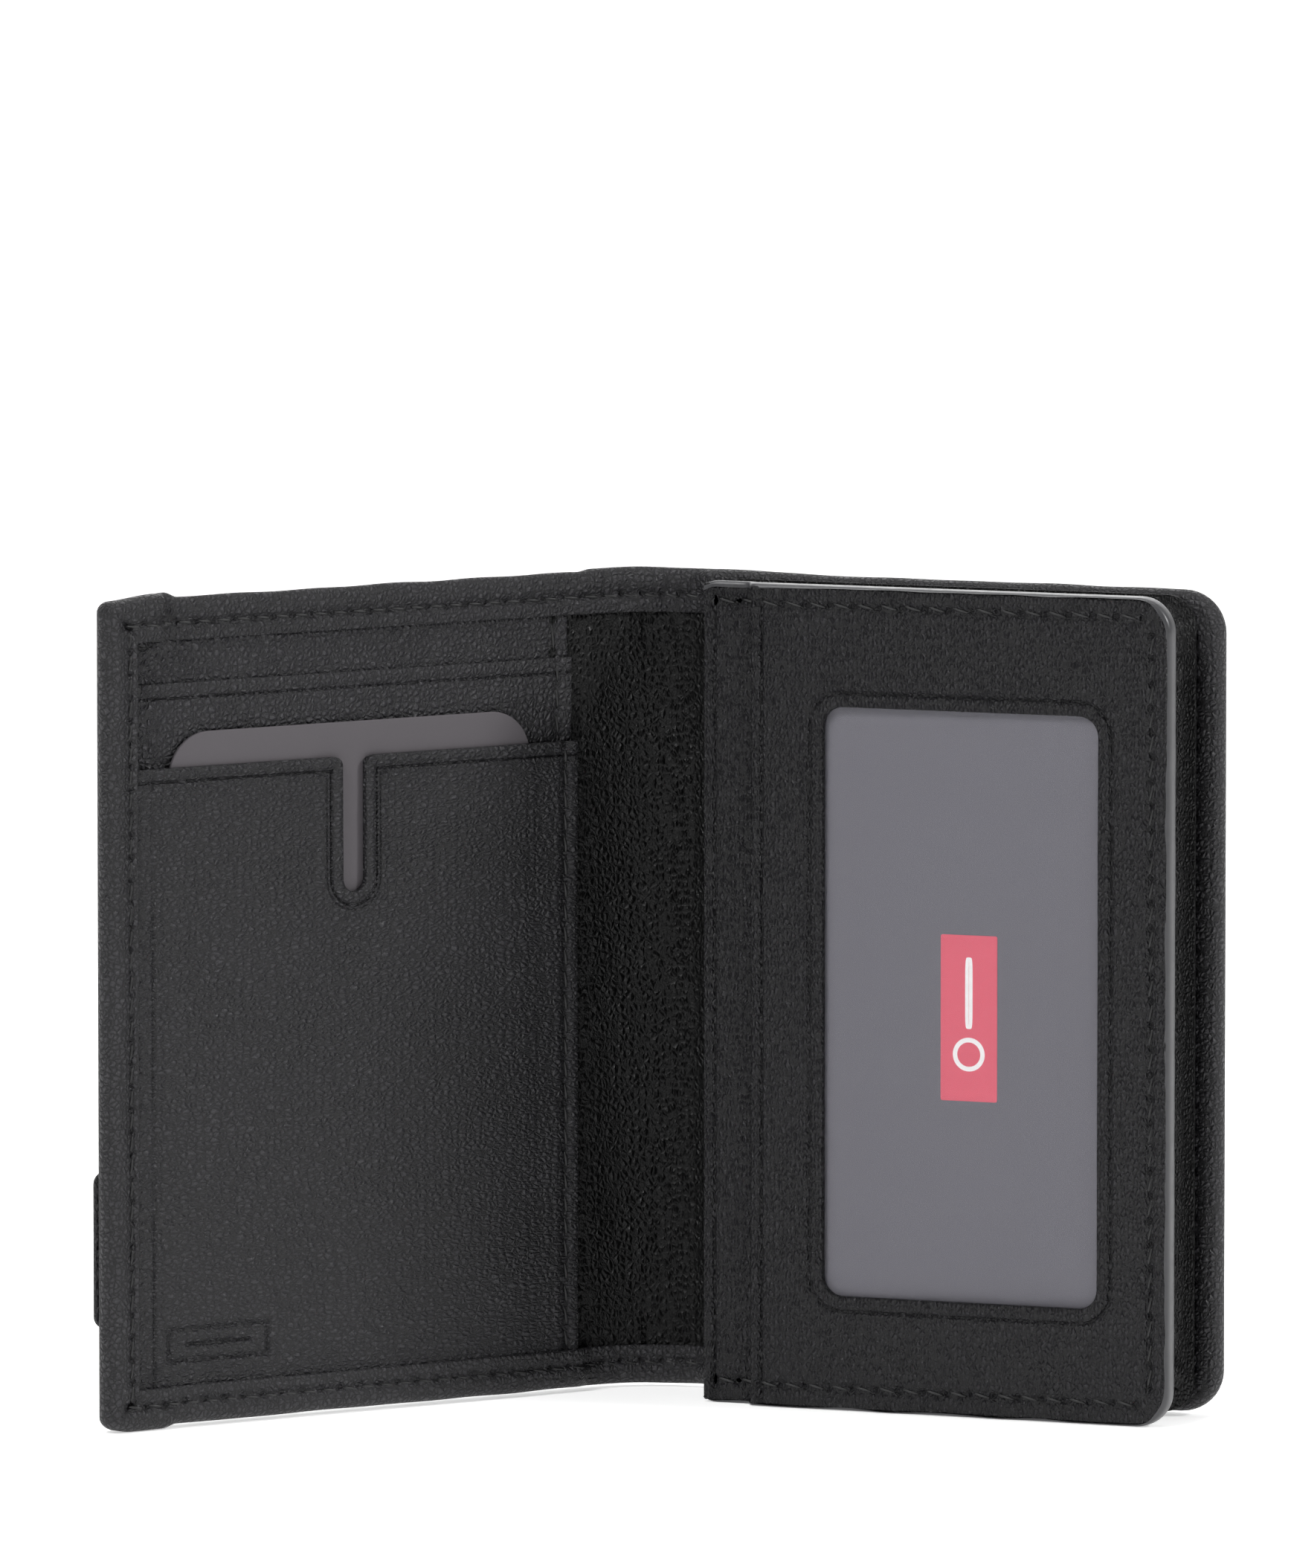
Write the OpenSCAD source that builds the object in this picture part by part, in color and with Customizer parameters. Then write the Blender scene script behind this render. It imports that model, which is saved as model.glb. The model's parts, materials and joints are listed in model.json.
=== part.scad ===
// Gusseted card wallet: a front cover and a back cover joined by a soft spine, with a window
// panel that a V-folded gusset holds in front of the back cover. It stands open on its lower edges.
// Millimetres, +Z up. The back cover lies along X and its inside faces -Y.

/* [Wallet] */
// Height of the covers and of the window panel
height = 105; // [98:1:116]
// Width of the front cover, from its fold to its free edge
front_w = 73; // [72:0.5:78]
// Width of the back cover, from its fold to its free edge
back_w = 71.5; // [70.5:0.5:78]
// Angle between the two covers as the wallet stands open
opening = 125; // [100:1:150]
// Distance between the two folds of the spine
spine_w = 14.8; // [14:0.1:17]

/* [Leather] */
// Thickness of the outer leather
shell_t = 0.8; // [0.7:0.05:1]
// Thickness of the leather where it is turned over the edges
hem_t = 0.55; // [0.5:0.05:0.6]
// Thickness of the front cover's board
front_board_t = 0.4; // [0.4:0.05:0.8]
// Thickness of the back cover's board
back_board_t = 1.6; // [1:0.05:1.8]
// Thickness of the front lining
front_lining_t = 0.3; // [0.3:0.05:0.5]
// Thickness of the back lining
back_lining_t = 0.6; // [0.4:0.05:0.6]
// Thickness of the upper slot's leather
slot_t = 0.35; // [0.35:0.05:0.6]
// Thickness of the lower pocket's leather
pocket_t = 0.4; // [0.4:0.05:0.6]
// Room for a card in the lower pocket
pocket_room = 0.8; // [0.8:0.05:1]

/* [Hems and slots] */
// Turned hem along the top edge
hem_top = 5.4; // [4.5:0.1:6]
// Turned hem along the bottom edge
hem_bottom = 5.4; // [4:0.1:6]
// Turned hem along the free edge
hem_side = 4.6; // [4:0.1:6]
// Corner radius of the back cover's free corners
back_corner_r = 5.5; // [4:0.5:8]
// Corner radius of the front cover's free corners
front_corner_r = 1.5; // [1:0.5:4]
// Height of the upper slot's edge
slot_edge_z = 94.3; // [92:0.1:96]
// Height of the lower pocket's edge
pocket_edge_z = 83.7; // [82:0.1:88]
// Width of the thumb notch
notch_w = 3.4; // [3:0.1:3.8]
// Depth of the thumb notch
notch_d = 17.2; // [14:0.1:24]

/* [Window panel] */
// Width of the panel
panel_w = 63.5; // [63.5:0.5:65]
// Distance from the back fold to the panel's open side
panel_x = 5.4; // [4.5:0.1:6]
// Gap that the gusset holds open behind the panel
gusset_gap = 8.7; // [7:0.1:9]
// Corner radius of the panel
panel_corner_r = 4.5; // [4:0.5:6]
// Step from the panel's open side to the window leather's edge
window_step = 7; // [6:0.1:8]
// Width of the window
window_w = 37; // [34:0.5:38]
// Height of the window
window_h = 75.1; // [70:0.1:76]
// Corner radius of the window
window_r = 2.6; // [2:0.1:4]

/* [Cards] */
// Width of a card
card_w = 54; // [53.5:0.1:54]
// Length of a card
card_h = 85.6; // [85:0.1:85.7]
// Corner radius of the pocket's card
card_r = 5.8; // [3:0.1:6.5]
// Thickness of the pocket's card
card_t = 0.5; // [0.4:0.05:0.5]

/* [Stitches] */
// Distance from one stitch to the next on the covers
pitch = 2.8; // [2.4:0.1:3.4]
// Distance from one stitch to the next on the window panel
panel_pitch = 3.05; // [2.4:0.01:3.4]

/* [Hidden] */
$fn = 48;

// The folds turn about the middle of the spine's leather, this deep below the outer face.
fold_depth = 1;
// Half of the clearance across a fold, for the outer leather and for the layers inside it
fold_gap = 0.35;
fold_step = 2;
eps = 0.5;
rim_t = shell_t;

bend = 180 - opening;
arc_r = spine_w / (2 * sin(bend / 2));
gap_angle = fold_gap / arc_r * 180 / PI;

back_t = shell_t + back_board_t + back_lining_t + hem_t;
fabric_t = 0.1;
front_pocket_t = pocket_room + pocket_t;
front_top_t = shell_t + front_board_t + front_lining_t + hem_t;
front_t = shell_t + front_board_t + front_lining_t + slot_t + fabric_t + front_pocket_t + hem_t;
spine_t = 2 * fold_depth;
interlining_t = 0.3;
spine_lining_t = spine_t - shell_t - interlining_t;

// Layers of the panel, from its back to its front
backing_t = 0.6;
layer_t = 0.5;
insert_t = 0.45;
film_t = 0.25;
window_leather_t = 0.8;
insert_room = 0.8;
paint_t = 0.3;
panel_t = backing_t + layer_t + insert_room + window_leather_t;
panel_back_y = fold_depth - back_t - gusset_gap;

// The window and the insert are placed from the panel's open side and from its lower edge.
window_x = 16.8;
window_z = 14.6;
insert_x = window_step + 0.3;
insert_z = window_z + window_h / 2 - card_h / 2;
label_size = [7.6, 21.1];
label_at = [32.4, 40.2];
label_t = 0.05;

patch_size = [30, 19.9];
patch_z = 13;
patch_t = 0.8;

gusset_leaf = 7.5;
gusset_t = 0.5;
gusset_flange = 1.8;
gusset_inset = 0.6;

thread_t = 0.12;
thread_w = 0.55;
stitch_share = 0.7;
cover_stitch_in = 3.5;
stitch_in = 2.5;
row_z = 3.2;
pocket_stitch = 2.1;

// The row frame's origin is under the middle of the bounding box.
front_fold = [-arc_r * sin(bend), -arc_r * (1 - cos(bend))];
left_x = front_fold.x - front_w * cos(bend) - (fold_depth + patch_t) * sin(bend);
right_x = back_w;
near_y = front_fold.y - front_w * sin(bend) - (front_t - fold_depth) * cos(bend);
far_y = fold_depth + thread_t;
centre = [(left_x + right_x) / 2, (near_y + far_y) / 2];

echo(back_fold = -centre, front_fold = front_fold - centre, front_t = front_t, back_t = back_t,
     panel_t = panel_t, size = [right_x - left_x, far_y - near_y]);

// ---- places: each leaf is drawn flat, with its fold at x = 0 and its outer face at depth 0 ----
module on_back() {
  translate([-centre.x, -centre.y, 0]) children();
}
module on_front() {
  translate([front_fold.x - centre.x, front_fold.y - centre.y, 0]) rotate([0, 0, bend]) children();
}
// The spine's arc is drawn about its own centre.
module on_spine() {
  translate([-centre.x, -centre.y - arc_r, 0]) children();
}
// Extrudes an outline drawn in x and z from one depth below the outer face to another.
module layer(from, thick) {
  translate([0, fold_depth - from, 0]) rotate([90, 0, 0]) linear_extrude(thick) children();
}
// The same, measured from the back of the window panel towards its front
module panel_layer(from, thick) {
  translate([panel_x, panel_back_y - from, 0]) rotate([90, 0, 0]) linear_extrude(thick) children();
}

// ---- outlines ----
// A leaf from x = from to x = w, with round corners at its far side
module leaf(w, z0, z1, r, from = 0) {
  translate([from, z0]) square([w - r - from, z1 - z0]);
  translate([w - 2 * r, z0 + r]) square([2 * r, z1 - z0 - 2 * r]);
  for (z = [z0 + r, z1 - r]) translate([w - r, z]) circle(r);
}
module round_rect(w, h, r) {
  translate([r, 0]) square([w - 2 * r, h]);
  translate([0, r]) square([w, h - 2 * r]);
  for (x = [r, w - r], z = [r, h - r]) translate([x, z]) circle(r);
}
// A row of stitches from the origin along x, lying on a surface and standing proud of it
module stitch_row(length, step) {
  n = floor(length / step);
  first = (length - (n - 1) * step - step * stitch_share) / 2;
  for (i = [0:n - 1])
    translate([first + i * step, -thread_w / 2]) square([step * stitch_share, thread_w]);
}
module upright() {
  rotate(90) children();
}

// ---- covers ----
// Outer leather: a sheet with its edges turned round three sides of the cover. The hem along the
// top lies at its own depth, top_t, so that a card can be drawn out over it.
module cover_shell(w, thick, r, top_t) {
  inner_r = max(r - rim_t, 0.4);
  hem_r = max(r - hem_side, 0.4);
  hem_edge = height - hem_top;
  difference() {
    layer(0, thick) leaf(w, 0, height, r, fold_gap);
    layer(shell_t, thick - shell_t - hem_t) leaf(w - rim_t, rim_t, hem_edge, inner_r, -eps);
    layer(shell_t, top_t - shell_t - hem_t)
      leaf(w - rim_t, height / 2, height - rim_t, inner_r, -eps);
    layer(thick - hem_t - 0.01, hem_t + eps) leaf(w - hem_side, hem_bottom, hem_edge, hem_r, -eps);
    layer(top_t, thick) translate([-eps, hem_edge - 0.01])
      square([w - hem_side + eps, hem_top + 2 * eps]);
    layer(shell_t, thick) translate([-eps, -eps]) square([fold_step + eps, height + 2 * eps]);
  }
}
// A sheet that lies inside the turned edges
module inside_sheet(w, from, thick, r, z1 = height - rim_t) {
  layer(from, thick)
    leaf(w - rim_t - 0.05, rim_t + 0.05, z1 - 0.05, max(r - rim_t, 0.5), fold_step);
}
// Stitches through the hem, on the inside and the outside of a cover. The top row's last stitch
// would lie across the side hem's step, so the row ends short of it.
module cover_thread(w, thick, top_t) {
  run_x = w - hem_side - fold_step - 0.3;
  run_z = height - 2 * (cover_stitch_in + back_corner_r / 2);
  for (from = [[-thread_t, -thread_t], [thick, top_t]]) {
    layer(from[0], thread_t) translate([fold_step, row_z]) stitch_row(run_x, pitch);
    layer(from[1], thread_t) translate([fold_step, height - row_z]) stitch_row(run_x, pitch);
    layer(from[0], thread_t) translate([w - cover_stitch_in, cover_stitch_in + back_corner_r / 2])
      upright() stitch_row(run_z, pitch);
  }
}

module back_shell() {
  color([0.09, 0.09, 0.1]) on_back() cover_shell(back_w, back_t, back_corner_r, back_t);
}
module back_board() {
  color([0.45, 0.4, 0.34]) on_back()
    inside_sheet(back_w, shell_t, back_board_t, back_corner_r);
}
module back_lining() {
  color([0.08, 0.08, 0.09]) on_back()
    inside_sheet(back_w, shell_t + back_board_t, back_lining_t, back_corner_r);
}
module back_thread() {
  color([0.05, 0.05, 0.05]) on_back() difference() {
    cover_thread(back_w, back_t, back_t);
    // The gusset's flange covers the inside of the hem, so its stitches show outside only.
    translate([-eps, -back_t, -eps]) cube([back_w + 2 * eps, back_t, height + 2 * eps]);
  }
}

// ---- gusset ----
// One V fold, drawn with the edge it follows at x = 0 and its point towards +x
module gusset_profile() {
  reach = sqrt(pow(gusset_leaf, 2) - pow(gusset_gap / 2, 2));
  flange = gusset_inset + gusset_flange;
  rear = fold_depth - back_t;
  half = gusset_gap / 2;
  polygon([
    [gusset_inset, rear], [flange, rear], [flange + reach, rear - half], [flange, rear - gusset_gap],
    [gusset_inset, rear - gusset_gap], [gusset_inset, rear - gusset_gap + gusset_t],
    [flange - 0.2, rear - gusset_gap + gusset_t], [flange + reach - 1, rear - half],
    [flange - 0.2, rear - gusset_t], [gusset_inset, rear - gusset_t]
  ]);
}
gusset_right = panel_x + panel_w;
module gusset() {
  depth = 20;
  color([0.07, 0.07, 0.08]) on_back() {
    intersection() {
      translate([gusset_right, 0, 0]) mirror([1, 0, 0]) linear_extrude(height) gusset_profile();
      translate([0, fold_depth, 0]) rotate([90, 0, 0]) linear_extrude(depth)
        polygon([
          [gusset_right, 0], [gusset_right, height],
          [gusset_right - depth, height - depth], [gusset_right - depth, depth]
        ]);
    }
    for (top = [0, 1]) intersection() {
      translate([panel_x + 1, 0, top * height]) mirror([0, 0, top])
        rotate([0, -90, 180]) mirror([0, 1, 0]) linear_extrude(panel_w) gusset_profile();
      translate([0, fold_depth, 0]) rotate([90, 0, 0]) linear_extrude(depth)
        translate([0, top * height]) mirror([0, top])
          polygon([[0, 0], [gusset_right, 0], [gusset_right - depth, depth], [0, depth]]);
    }
  }
}

// ---- spine ----
// A curved sheet between two depths below the outer face
module spine_sheet(from, thick, z0, z1) {
  rotate([0, 0, 90 + gap_angle]) rotate_extrude(angle = bend - 2 * gap_angle, $fn = 96)
    translate([arc_r + fold_depth - from - thick, z0]) square([thick, z1 - z0]);
}
module spine_shell() {
  color([0.09, 0.09, 0.1]) on_spine() {
    spine_sheet(0, shell_t, 0, height);
    for (ends = [[0, hem_bottom, 0, rim_t], [height - hem_top, height, height - rim_t, height]]) {
      spine_sheet(shell_t, spine_t - shell_t, ends[2], ends[3]);
      spine_sheet(spine_t, hem_t, ends[0], ends[1]);
    }
  }
}
module spine_interlining() {
  color([0.3, 0.3, 0.3]) on_spine()
    spine_sheet(shell_t, interlining_t, rim_t + 0.05, height - rim_t - 0.05);
}
module spine_lining() {
  color([0.05, 0.05, 0.05]) on_spine()
    spine_sheet(shell_t + interlining_t, spine_lining_t, rim_t + 0.05, height - rim_t - 0.05);
}
module spine_thread() {
  per_stitch = pitch / arc_r * 180 / PI;
  n = floor((bend - 2 * gap_angle) / per_stitch);
  first = gap_angle + (bend - 2 * gap_angle - (n - 1 + stitch_share) * per_stitch) / 2;
  color([0.05, 0.05, 0.05]) on_spine()
    for (r = [arc_r + fold_depth, arc_r + fold_depth - spine_t - hem_t - thread_t],
         z = [row_z, height - row_z], i = [0:n - 1])
      rotate([0, 0, 90 + first + i * per_stitch]) rotate_extrude(angle = per_stitch * stitch_share)
        translate([r, z - thread_w / 2]) square([thread_t, thread_w]);
}

// ---- front cover, drawn along +x and then turned over to lie along -x ----
module front_leaf() {
  on_front() mirror([1, 0, 0]) children();
}
front_lining_at = shell_t + front_board_t;
slot_at = front_lining_at + front_lining_t;
fabric_at = slot_at + slot_t;
pocket_at = fabric_at + fabric_t;
card_x = (front_w - hem_side + fold_step + pocket_stitch) / 2 - card_w / 2;
card_z = 2.4;

module front_shell() {
  color([0.1, 0.1, 0.11]) front_leaf()
    cover_shell(front_w, front_t, front_corner_r, front_top_t);
}
module front_board() {
  color([0.45, 0.4, 0.34]) front_leaf()
    inside_sheet(front_w, shell_t, front_board_t, front_corner_r);
}
module front_lining() {
  color([0.12, 0.12, 0.13]) front_leaf()
    inside_sheet(front_w, front_lining_at, front_lining_t, front_corner_r);
}
module upper_slot() {
  color([0.12, 0.12, 0.13]) front_leaf()
    inside_sheet(front_w, slot_at, slot_t, front_corner_r, slot_edge_z);
}
module slot_fabric() {
  color([0.2, 0.2, 0.22]) front_leaf()
    inside_sheet(front_w, fabric_at, fabric_t, front_corner_r, pocket_edge_z - 12);
}
module notch_outline() {
  x = card_x + card_w / 2;
  translate([x, pocket_edge_z - notch_d + notch_w / 2]) {
    circle(d = notch_w);
    translate([-notch_w / 2, 0]) square([notch_w, notch_d + eps]);
  }
}
module lower_pocket() {
  color([0.11, 0.11, 0.12]) front_leaf() difference() {
    inside_sheet(front_w, pocket_at, front_pocket_t, front_corner_r, pocket_edge_z);
    layer(pocket_at - 0.01, pocket_room + 0.01)
      translate([card_x - 0.6, card_z - 0.1]) square([card_w + 1.2, height]);
    layer(pocket_at - eps, front_pocket_t + 2 * eps) notch_outline();
  }
}
module front_thread() {
  color([0.05, 0.05, 0.05]) front_leaf() difference() {
    cover_thread(front_w, front_t, front_top_t);
    // The patch lies over part of the outer row.
    layer(-patch_t, patch_t) translate([front_w - patch_size.x - 0.2, patch_z - 0.2])
      square([patch_size.x + 1, patch_size.y + 0.4]);
  }
}
module pocket_thread() {
  z0 = hem_bottom + 0.3;
  color([0.05, 0.05, 0.05]) front_leaf() {
    layer(pocket_at + front_pocket_t, thread_t)
      translate([fold_step + pocket_stitch, z0]) upright()
        stitch_row(pocket_edge_z - z0 - 0.6, pitch);
    layer(slot_at + slot_t, thread_t)
      translate([fold_step + pocket_stitch, pocket_edge_z + 0.3]) upright()
        stitch_row(slot_edge_z - pocket_edge_z - 0.6, pitch);
    layer(slot_at, thread_t)
      translate([fold_step + pocket_stitch, slot_edge_z + 0.2]) upright()
        stitch_row(height - hem_top - slot_edge_z - 0.4, pitch);
  }
}
module monogram_patch() {
  color([0.08, 0.08, 0.09]) front_leaf() layer(-patch_t, patch_t)
    translate([front_w - patch_size.x, patch_z]) round_rect(patch_size.x, patch_size.y, 0.6);
}
module patch_thread() {
  border = 1.6;
  color([0.05, 0.05, 0.05]) front_leaf()
    layer(-patch_t - thread_t, thread_t) translate([front_w - patch_size.x, patch_z]) {
      for (z = [border, patch_size.y - border])
        translate([border, z]) stitch_row(patch_size.x - 2 * border - 1, pitch);
      translate([border, border + 0.8]) upright() stitch_row(patch_size.y - 2 * border - 1.6, pitch);
    }
}
module pocket_card() {
  color([0.42, 0.4, 0.41]) front_leaf() layer(front_top_t + thread_t + 0.05, card_t)
    translate([card_x, card_z]) round_rect(card_w, card_h, card_r);
}

// ---- window panel ----
module panel_outline(from = 0) {
  leaf(panel_w - paint_t, paint_t, height - paint_t, panel_corner_r - paint_t, from);
}
module window_outline(grow = 0) {
  translate([window_x - grow, window_z - grow])
    round_rect(window_w + 2 * grow, window_h + 2 * grow, window_r);
}
layer_at = backing_t;
window_at = layer_at + layer_t;
module panel_backing() {
  color([0.08, 0.08, 0.09]) on_back() panel_layer(0, backing_t) panel_outline();
}
module card_layer() {
  color([0.1, 0.1, 0.11]) on_back() panel_layer(layer_at, layer_t) panel_outline();
}
module window_leather() {
  color([0.11, 0.11, 0.12]) on_back() difference() {
    panel_layer(window_at, insert_room + window_leather_t) panel_outline(window_step);
    panel_layer(window_at - 0.01, insert_room + 0.01)
      translate([window_step - eps, insert_z - 1]) square([card_w + 1.2 + eps, card_h + 2]);
    panel_layer(window_at, panel_t) window_outline();
  }
}
module window_film() {
  color([0.7, 0.7, 0.75, 0.4]) on_back() panel_layer(window_at + insert_room - film_t, film_t)
    window_outline(2);
}
module edge_paint() {
  color([0.25, 0.25, 0.26]) on_back() difference() {
    union() {
      panel_layer(0, window_at) leaf(panel_w, 0, height, panel_corner_r);
      panel_layer(0, panel_t) leaf(panel_w, 0, height, panel_corner_r, window_step);
    }
    panel_layer(-eps, panel_t + 2 * eps) panel_outline(-eps);
  }
}
module panel_thread() {
  color([0.05, 0.05, 0.05]) on_back() {
    run_x = panel_w - window_step - stitch_in - panel_corner_r / 2;
    run_z = height - 2 * (stitch_in + panel_corner_r / 2 + 0.4);
    panel_layer(panel_t, thread_t) {
      for (z = [stitch_in, height - stitch_in])
        translate([window_step + 0.3, z]) stitch_row(run_x, panel_pitch);
      translate([panel_w - stitch_in, (height - run_z) / 2]) upright() stitch_row(run_z, panel_pitch);
    }
  }
}
module id_insert() {
  color([0.42, 0.42, 0.44]) on_back() panel_layer(window_at + 0.03, insert_t)
    translate([insert_x, insert_z]) round_rect(card_w, card_h, 3.2);
}
module insert_label() {
  color([0.75, 0.2, 0.25]) on_back() panel_layer(window_at + 0.03 + insert_t, label_t)
    translate(label_at) square(label_size);
}

back_shell();
back_board();
back_lining();
back_thread();
gusset();
spine_shell();
spine_interlining();
spine_lining();
spine_thread();
front_shell();
front_board();
front_lining();
upper_slot();
slot_fabric();
lower_pocket();
front_thread();
pocket_thread();
monogram_patch();
patch_thread();
pocket_card();
panel_backing();
card_layer();
window_film();
window_leather();
edge_paint();
panel_thread();
id_insert();
insert_label();
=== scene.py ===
# %% [markdown]
# # A leather card wallet, standing open
#
# The wallet is two covers joined by a soft spine, and a third leaf, the window panel, that a folded
# gusset holds in front of the back cover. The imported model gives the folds, the covers' outlines and
# the panel's places. Some thicknesses, hem widths and edge heights are repeated here as named values,
# so they have to follow the model. This lesson makes the leather itself: turned hems, slots, stitches,
# folds and grain.

# %% Load the frame
import json
import math

import bmesh
import bpy
import mathutils
import numpy as np
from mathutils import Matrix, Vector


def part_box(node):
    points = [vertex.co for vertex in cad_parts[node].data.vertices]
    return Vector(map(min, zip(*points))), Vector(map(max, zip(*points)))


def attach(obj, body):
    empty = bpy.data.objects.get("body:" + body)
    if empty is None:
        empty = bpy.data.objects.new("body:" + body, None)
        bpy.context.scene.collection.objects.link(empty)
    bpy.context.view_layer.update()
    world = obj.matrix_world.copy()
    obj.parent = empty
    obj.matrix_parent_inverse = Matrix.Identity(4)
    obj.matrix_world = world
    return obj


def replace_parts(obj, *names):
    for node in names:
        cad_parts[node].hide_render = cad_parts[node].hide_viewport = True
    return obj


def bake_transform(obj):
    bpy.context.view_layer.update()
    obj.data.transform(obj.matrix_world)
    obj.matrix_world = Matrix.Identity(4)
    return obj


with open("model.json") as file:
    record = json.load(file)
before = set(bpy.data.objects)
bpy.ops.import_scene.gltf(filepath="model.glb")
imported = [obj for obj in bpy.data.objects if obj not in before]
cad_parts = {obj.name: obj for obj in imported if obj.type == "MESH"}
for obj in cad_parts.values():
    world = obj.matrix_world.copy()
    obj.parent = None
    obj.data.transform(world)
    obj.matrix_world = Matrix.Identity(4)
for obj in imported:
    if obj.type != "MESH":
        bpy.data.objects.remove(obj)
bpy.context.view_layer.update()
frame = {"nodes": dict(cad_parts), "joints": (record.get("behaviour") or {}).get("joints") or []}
MM = 0.001
print("nodes in the frame:", len(frame["nodes"]))

# %% [markdown]
# ## Where things are
#
# Leather is cut flat and then folded, so it is easiest to draw flat as well. Every piece here is
# drawn with three numbers in millimetres: `s`, the distance along the leather from the back cover's
# fold, `d`, the depth below the outer face, and `z`, the height. One function then bends that flat
# drawing round the spine. The folds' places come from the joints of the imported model.

# %% Sizes from the frame
joints = {joint["name"]: joint for joint in frame["joints"]}
back_fold = np.array(joints["back_fold"]["pos_m"]) / MM
front_fold = np.array(joints["front_fold"]["pos_m"]) / MM
FOLD_DEPTH = 1.0


def node_box(node):
    """The lowest and highest corner of a node, in millimetres."""
    low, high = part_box(node)
    return np.array(low) / MM, np.array(high) / MM


chord = back_fold - front_fold
BEND = 2 * math.atan2(chord[1], chord[0])
ARC_R = math.hypot(chord[0], chord[1]) / (2 * math.sin(BEND / 2))
SPINE = ARC_R * BEND
HEIGHT = node_box("back_shell")[1][2]
BACK_W = node_box("back_shell")[1][0] - back_fold[0]
BACK_T = node_box("back_shell")[1][1] - node_box("back_shell")[0][1]
FRONT_W = (front_fold[0] - node_box("front_shell")[0][0] - FOLD_DEPTH * math.sin(BEND)) / math.cos(BEND)
FRONT_T = 3.7
FRONT_TOP_T = 2.05
SPINE_T = 2.55
LINING_FRONT = 1.5
LINING_BACK = 3.0
LINING_SPINE = 2.0
POCKET_TOP = 3.15
print(f"bend {math.degrees(BEND):.1f} deg, spine {SPINE:.2f} mm, covers {FRONT_W:.1f} and {BACK_W:.1f} mm")


def to_array(*columns):
    """Stacks coordinate arrays of one shape into points."""
    return np.stack(np.broadcast_arrays(*columns), axis=-1)


def on_back(x, d, z):
    """Flat drawing to row frame on the back cover: x runs along X, and depth runs towards -Y."""
    return to_array(back_fold[0] + x, back_fold[1] + FOLD_DEPTH - d, z)


def place(s, d, z):
    """Bends the flat drawing: straight for s > 0, round an arc as long as the spine, then straight."""
    s, d, z = np.broadcast_arrays(np.asarray(s, float), d, z)
    out = FOLD_DEPTH - d
    angle = np.clip(-s / ARC_R, 0, BEND)
    reach = np.where(s > 0, s, np.where(s < -SPINE, s + SPINE, 0.0))
    centre_y = back_fold[1] - ARC_R
    x = back_fold[0] - (ARC_R + out) * np.sin(angle) + reach * np.cos(angle)
    y = centre_y + (ARC_R + out) * np.cos(angle) + reach * np.sin(angle)
    return to_array(x, y, z)


def on_front(x, d, z):
    """Flat drawing to row frame on the front cover, x being the distance from its fold."""
    return place(-SPINE - np.asarray(x, float), d, z)


# %% [markdown]
# ## Tools for surfaces
#
# A surface is a grid of points worked out all at once. Two helpers do most of the work: one
# turns a grid into quads, and one puts points and faces into a mesh, merges the seams and makes sure
# that the outside is outside, by the sign of the enclosed volume.

# %% Grid and mesh helpers
def smooth(x, start, end):
    """Goes from 0 at start to 1 at end with no corner: 3t^2 - 2t^3 of the clipped ratio."""
    t = np.clip((np.asarray(x, float) - start) / (end - start), 0, 1)
    return t * t * (3 - 2 * t)


def mix(a, b, t):
    """a where t is 0 and b where t is 1."""
    return a + (b - a) * t


def bell(x, width):
    """A bump of height 1 and that half width: exp of minus the squared ratio."""
    return np.exp(-np.square(np.asarray(x, float) / width))


def ripple(x, z, size, seed):
    """Smooth unevenness about 1 high: six sine waves of random direction, length and phase."""
    random = np.random.default_rng(seed)
    total = 0.0
    for turn, length, phase in zip(
        random.uniform(0, math.pi, 6), size * random.uniform(0.6, 1.7, 6), random.uniform(0, 7, 6)
    ):
        total = total + np.sin((x * math.cos(turn) + z * math.sin(turn)) * 2 * math.pi / length + phase)
    return total / 2.4


def grid_faces(rows, columns, wrap_rows=False, wrap_columns=False, first=0):
    """Corner numbers of the quads between neighbouring rows and columns of points."""
    i = np.arange(rows if wrap_rows else rows - 1)[:, None]
    j = np.arange(columns if wrap_columns else columns - 1)[None, :]
    i2, j2 = (i + 1) % rows, (j + 1) % columns
    corners = (i * columns + j, i2 * columns + j, i2 * columns + j2, i * columns + j2)
    quads = np.stack(np.broadcast_arrays(*corners), -1)
    return quads.reshape(-1, 4) + first


def signed_volume(points, faces):
    """Sum over the faces' triangles of the box product of their corners, over six."""
    total = 0.0
    for block in faces:
        for k in range(1, block.shape[1] - 1):
            a, b, c = points[block[:, 0]], points[block[:, k]], points[block[:, k + 1]]
            total += np.einsum("ij,ij->i", a, np.cross(b, c)).sum() / 6
    return total


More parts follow.
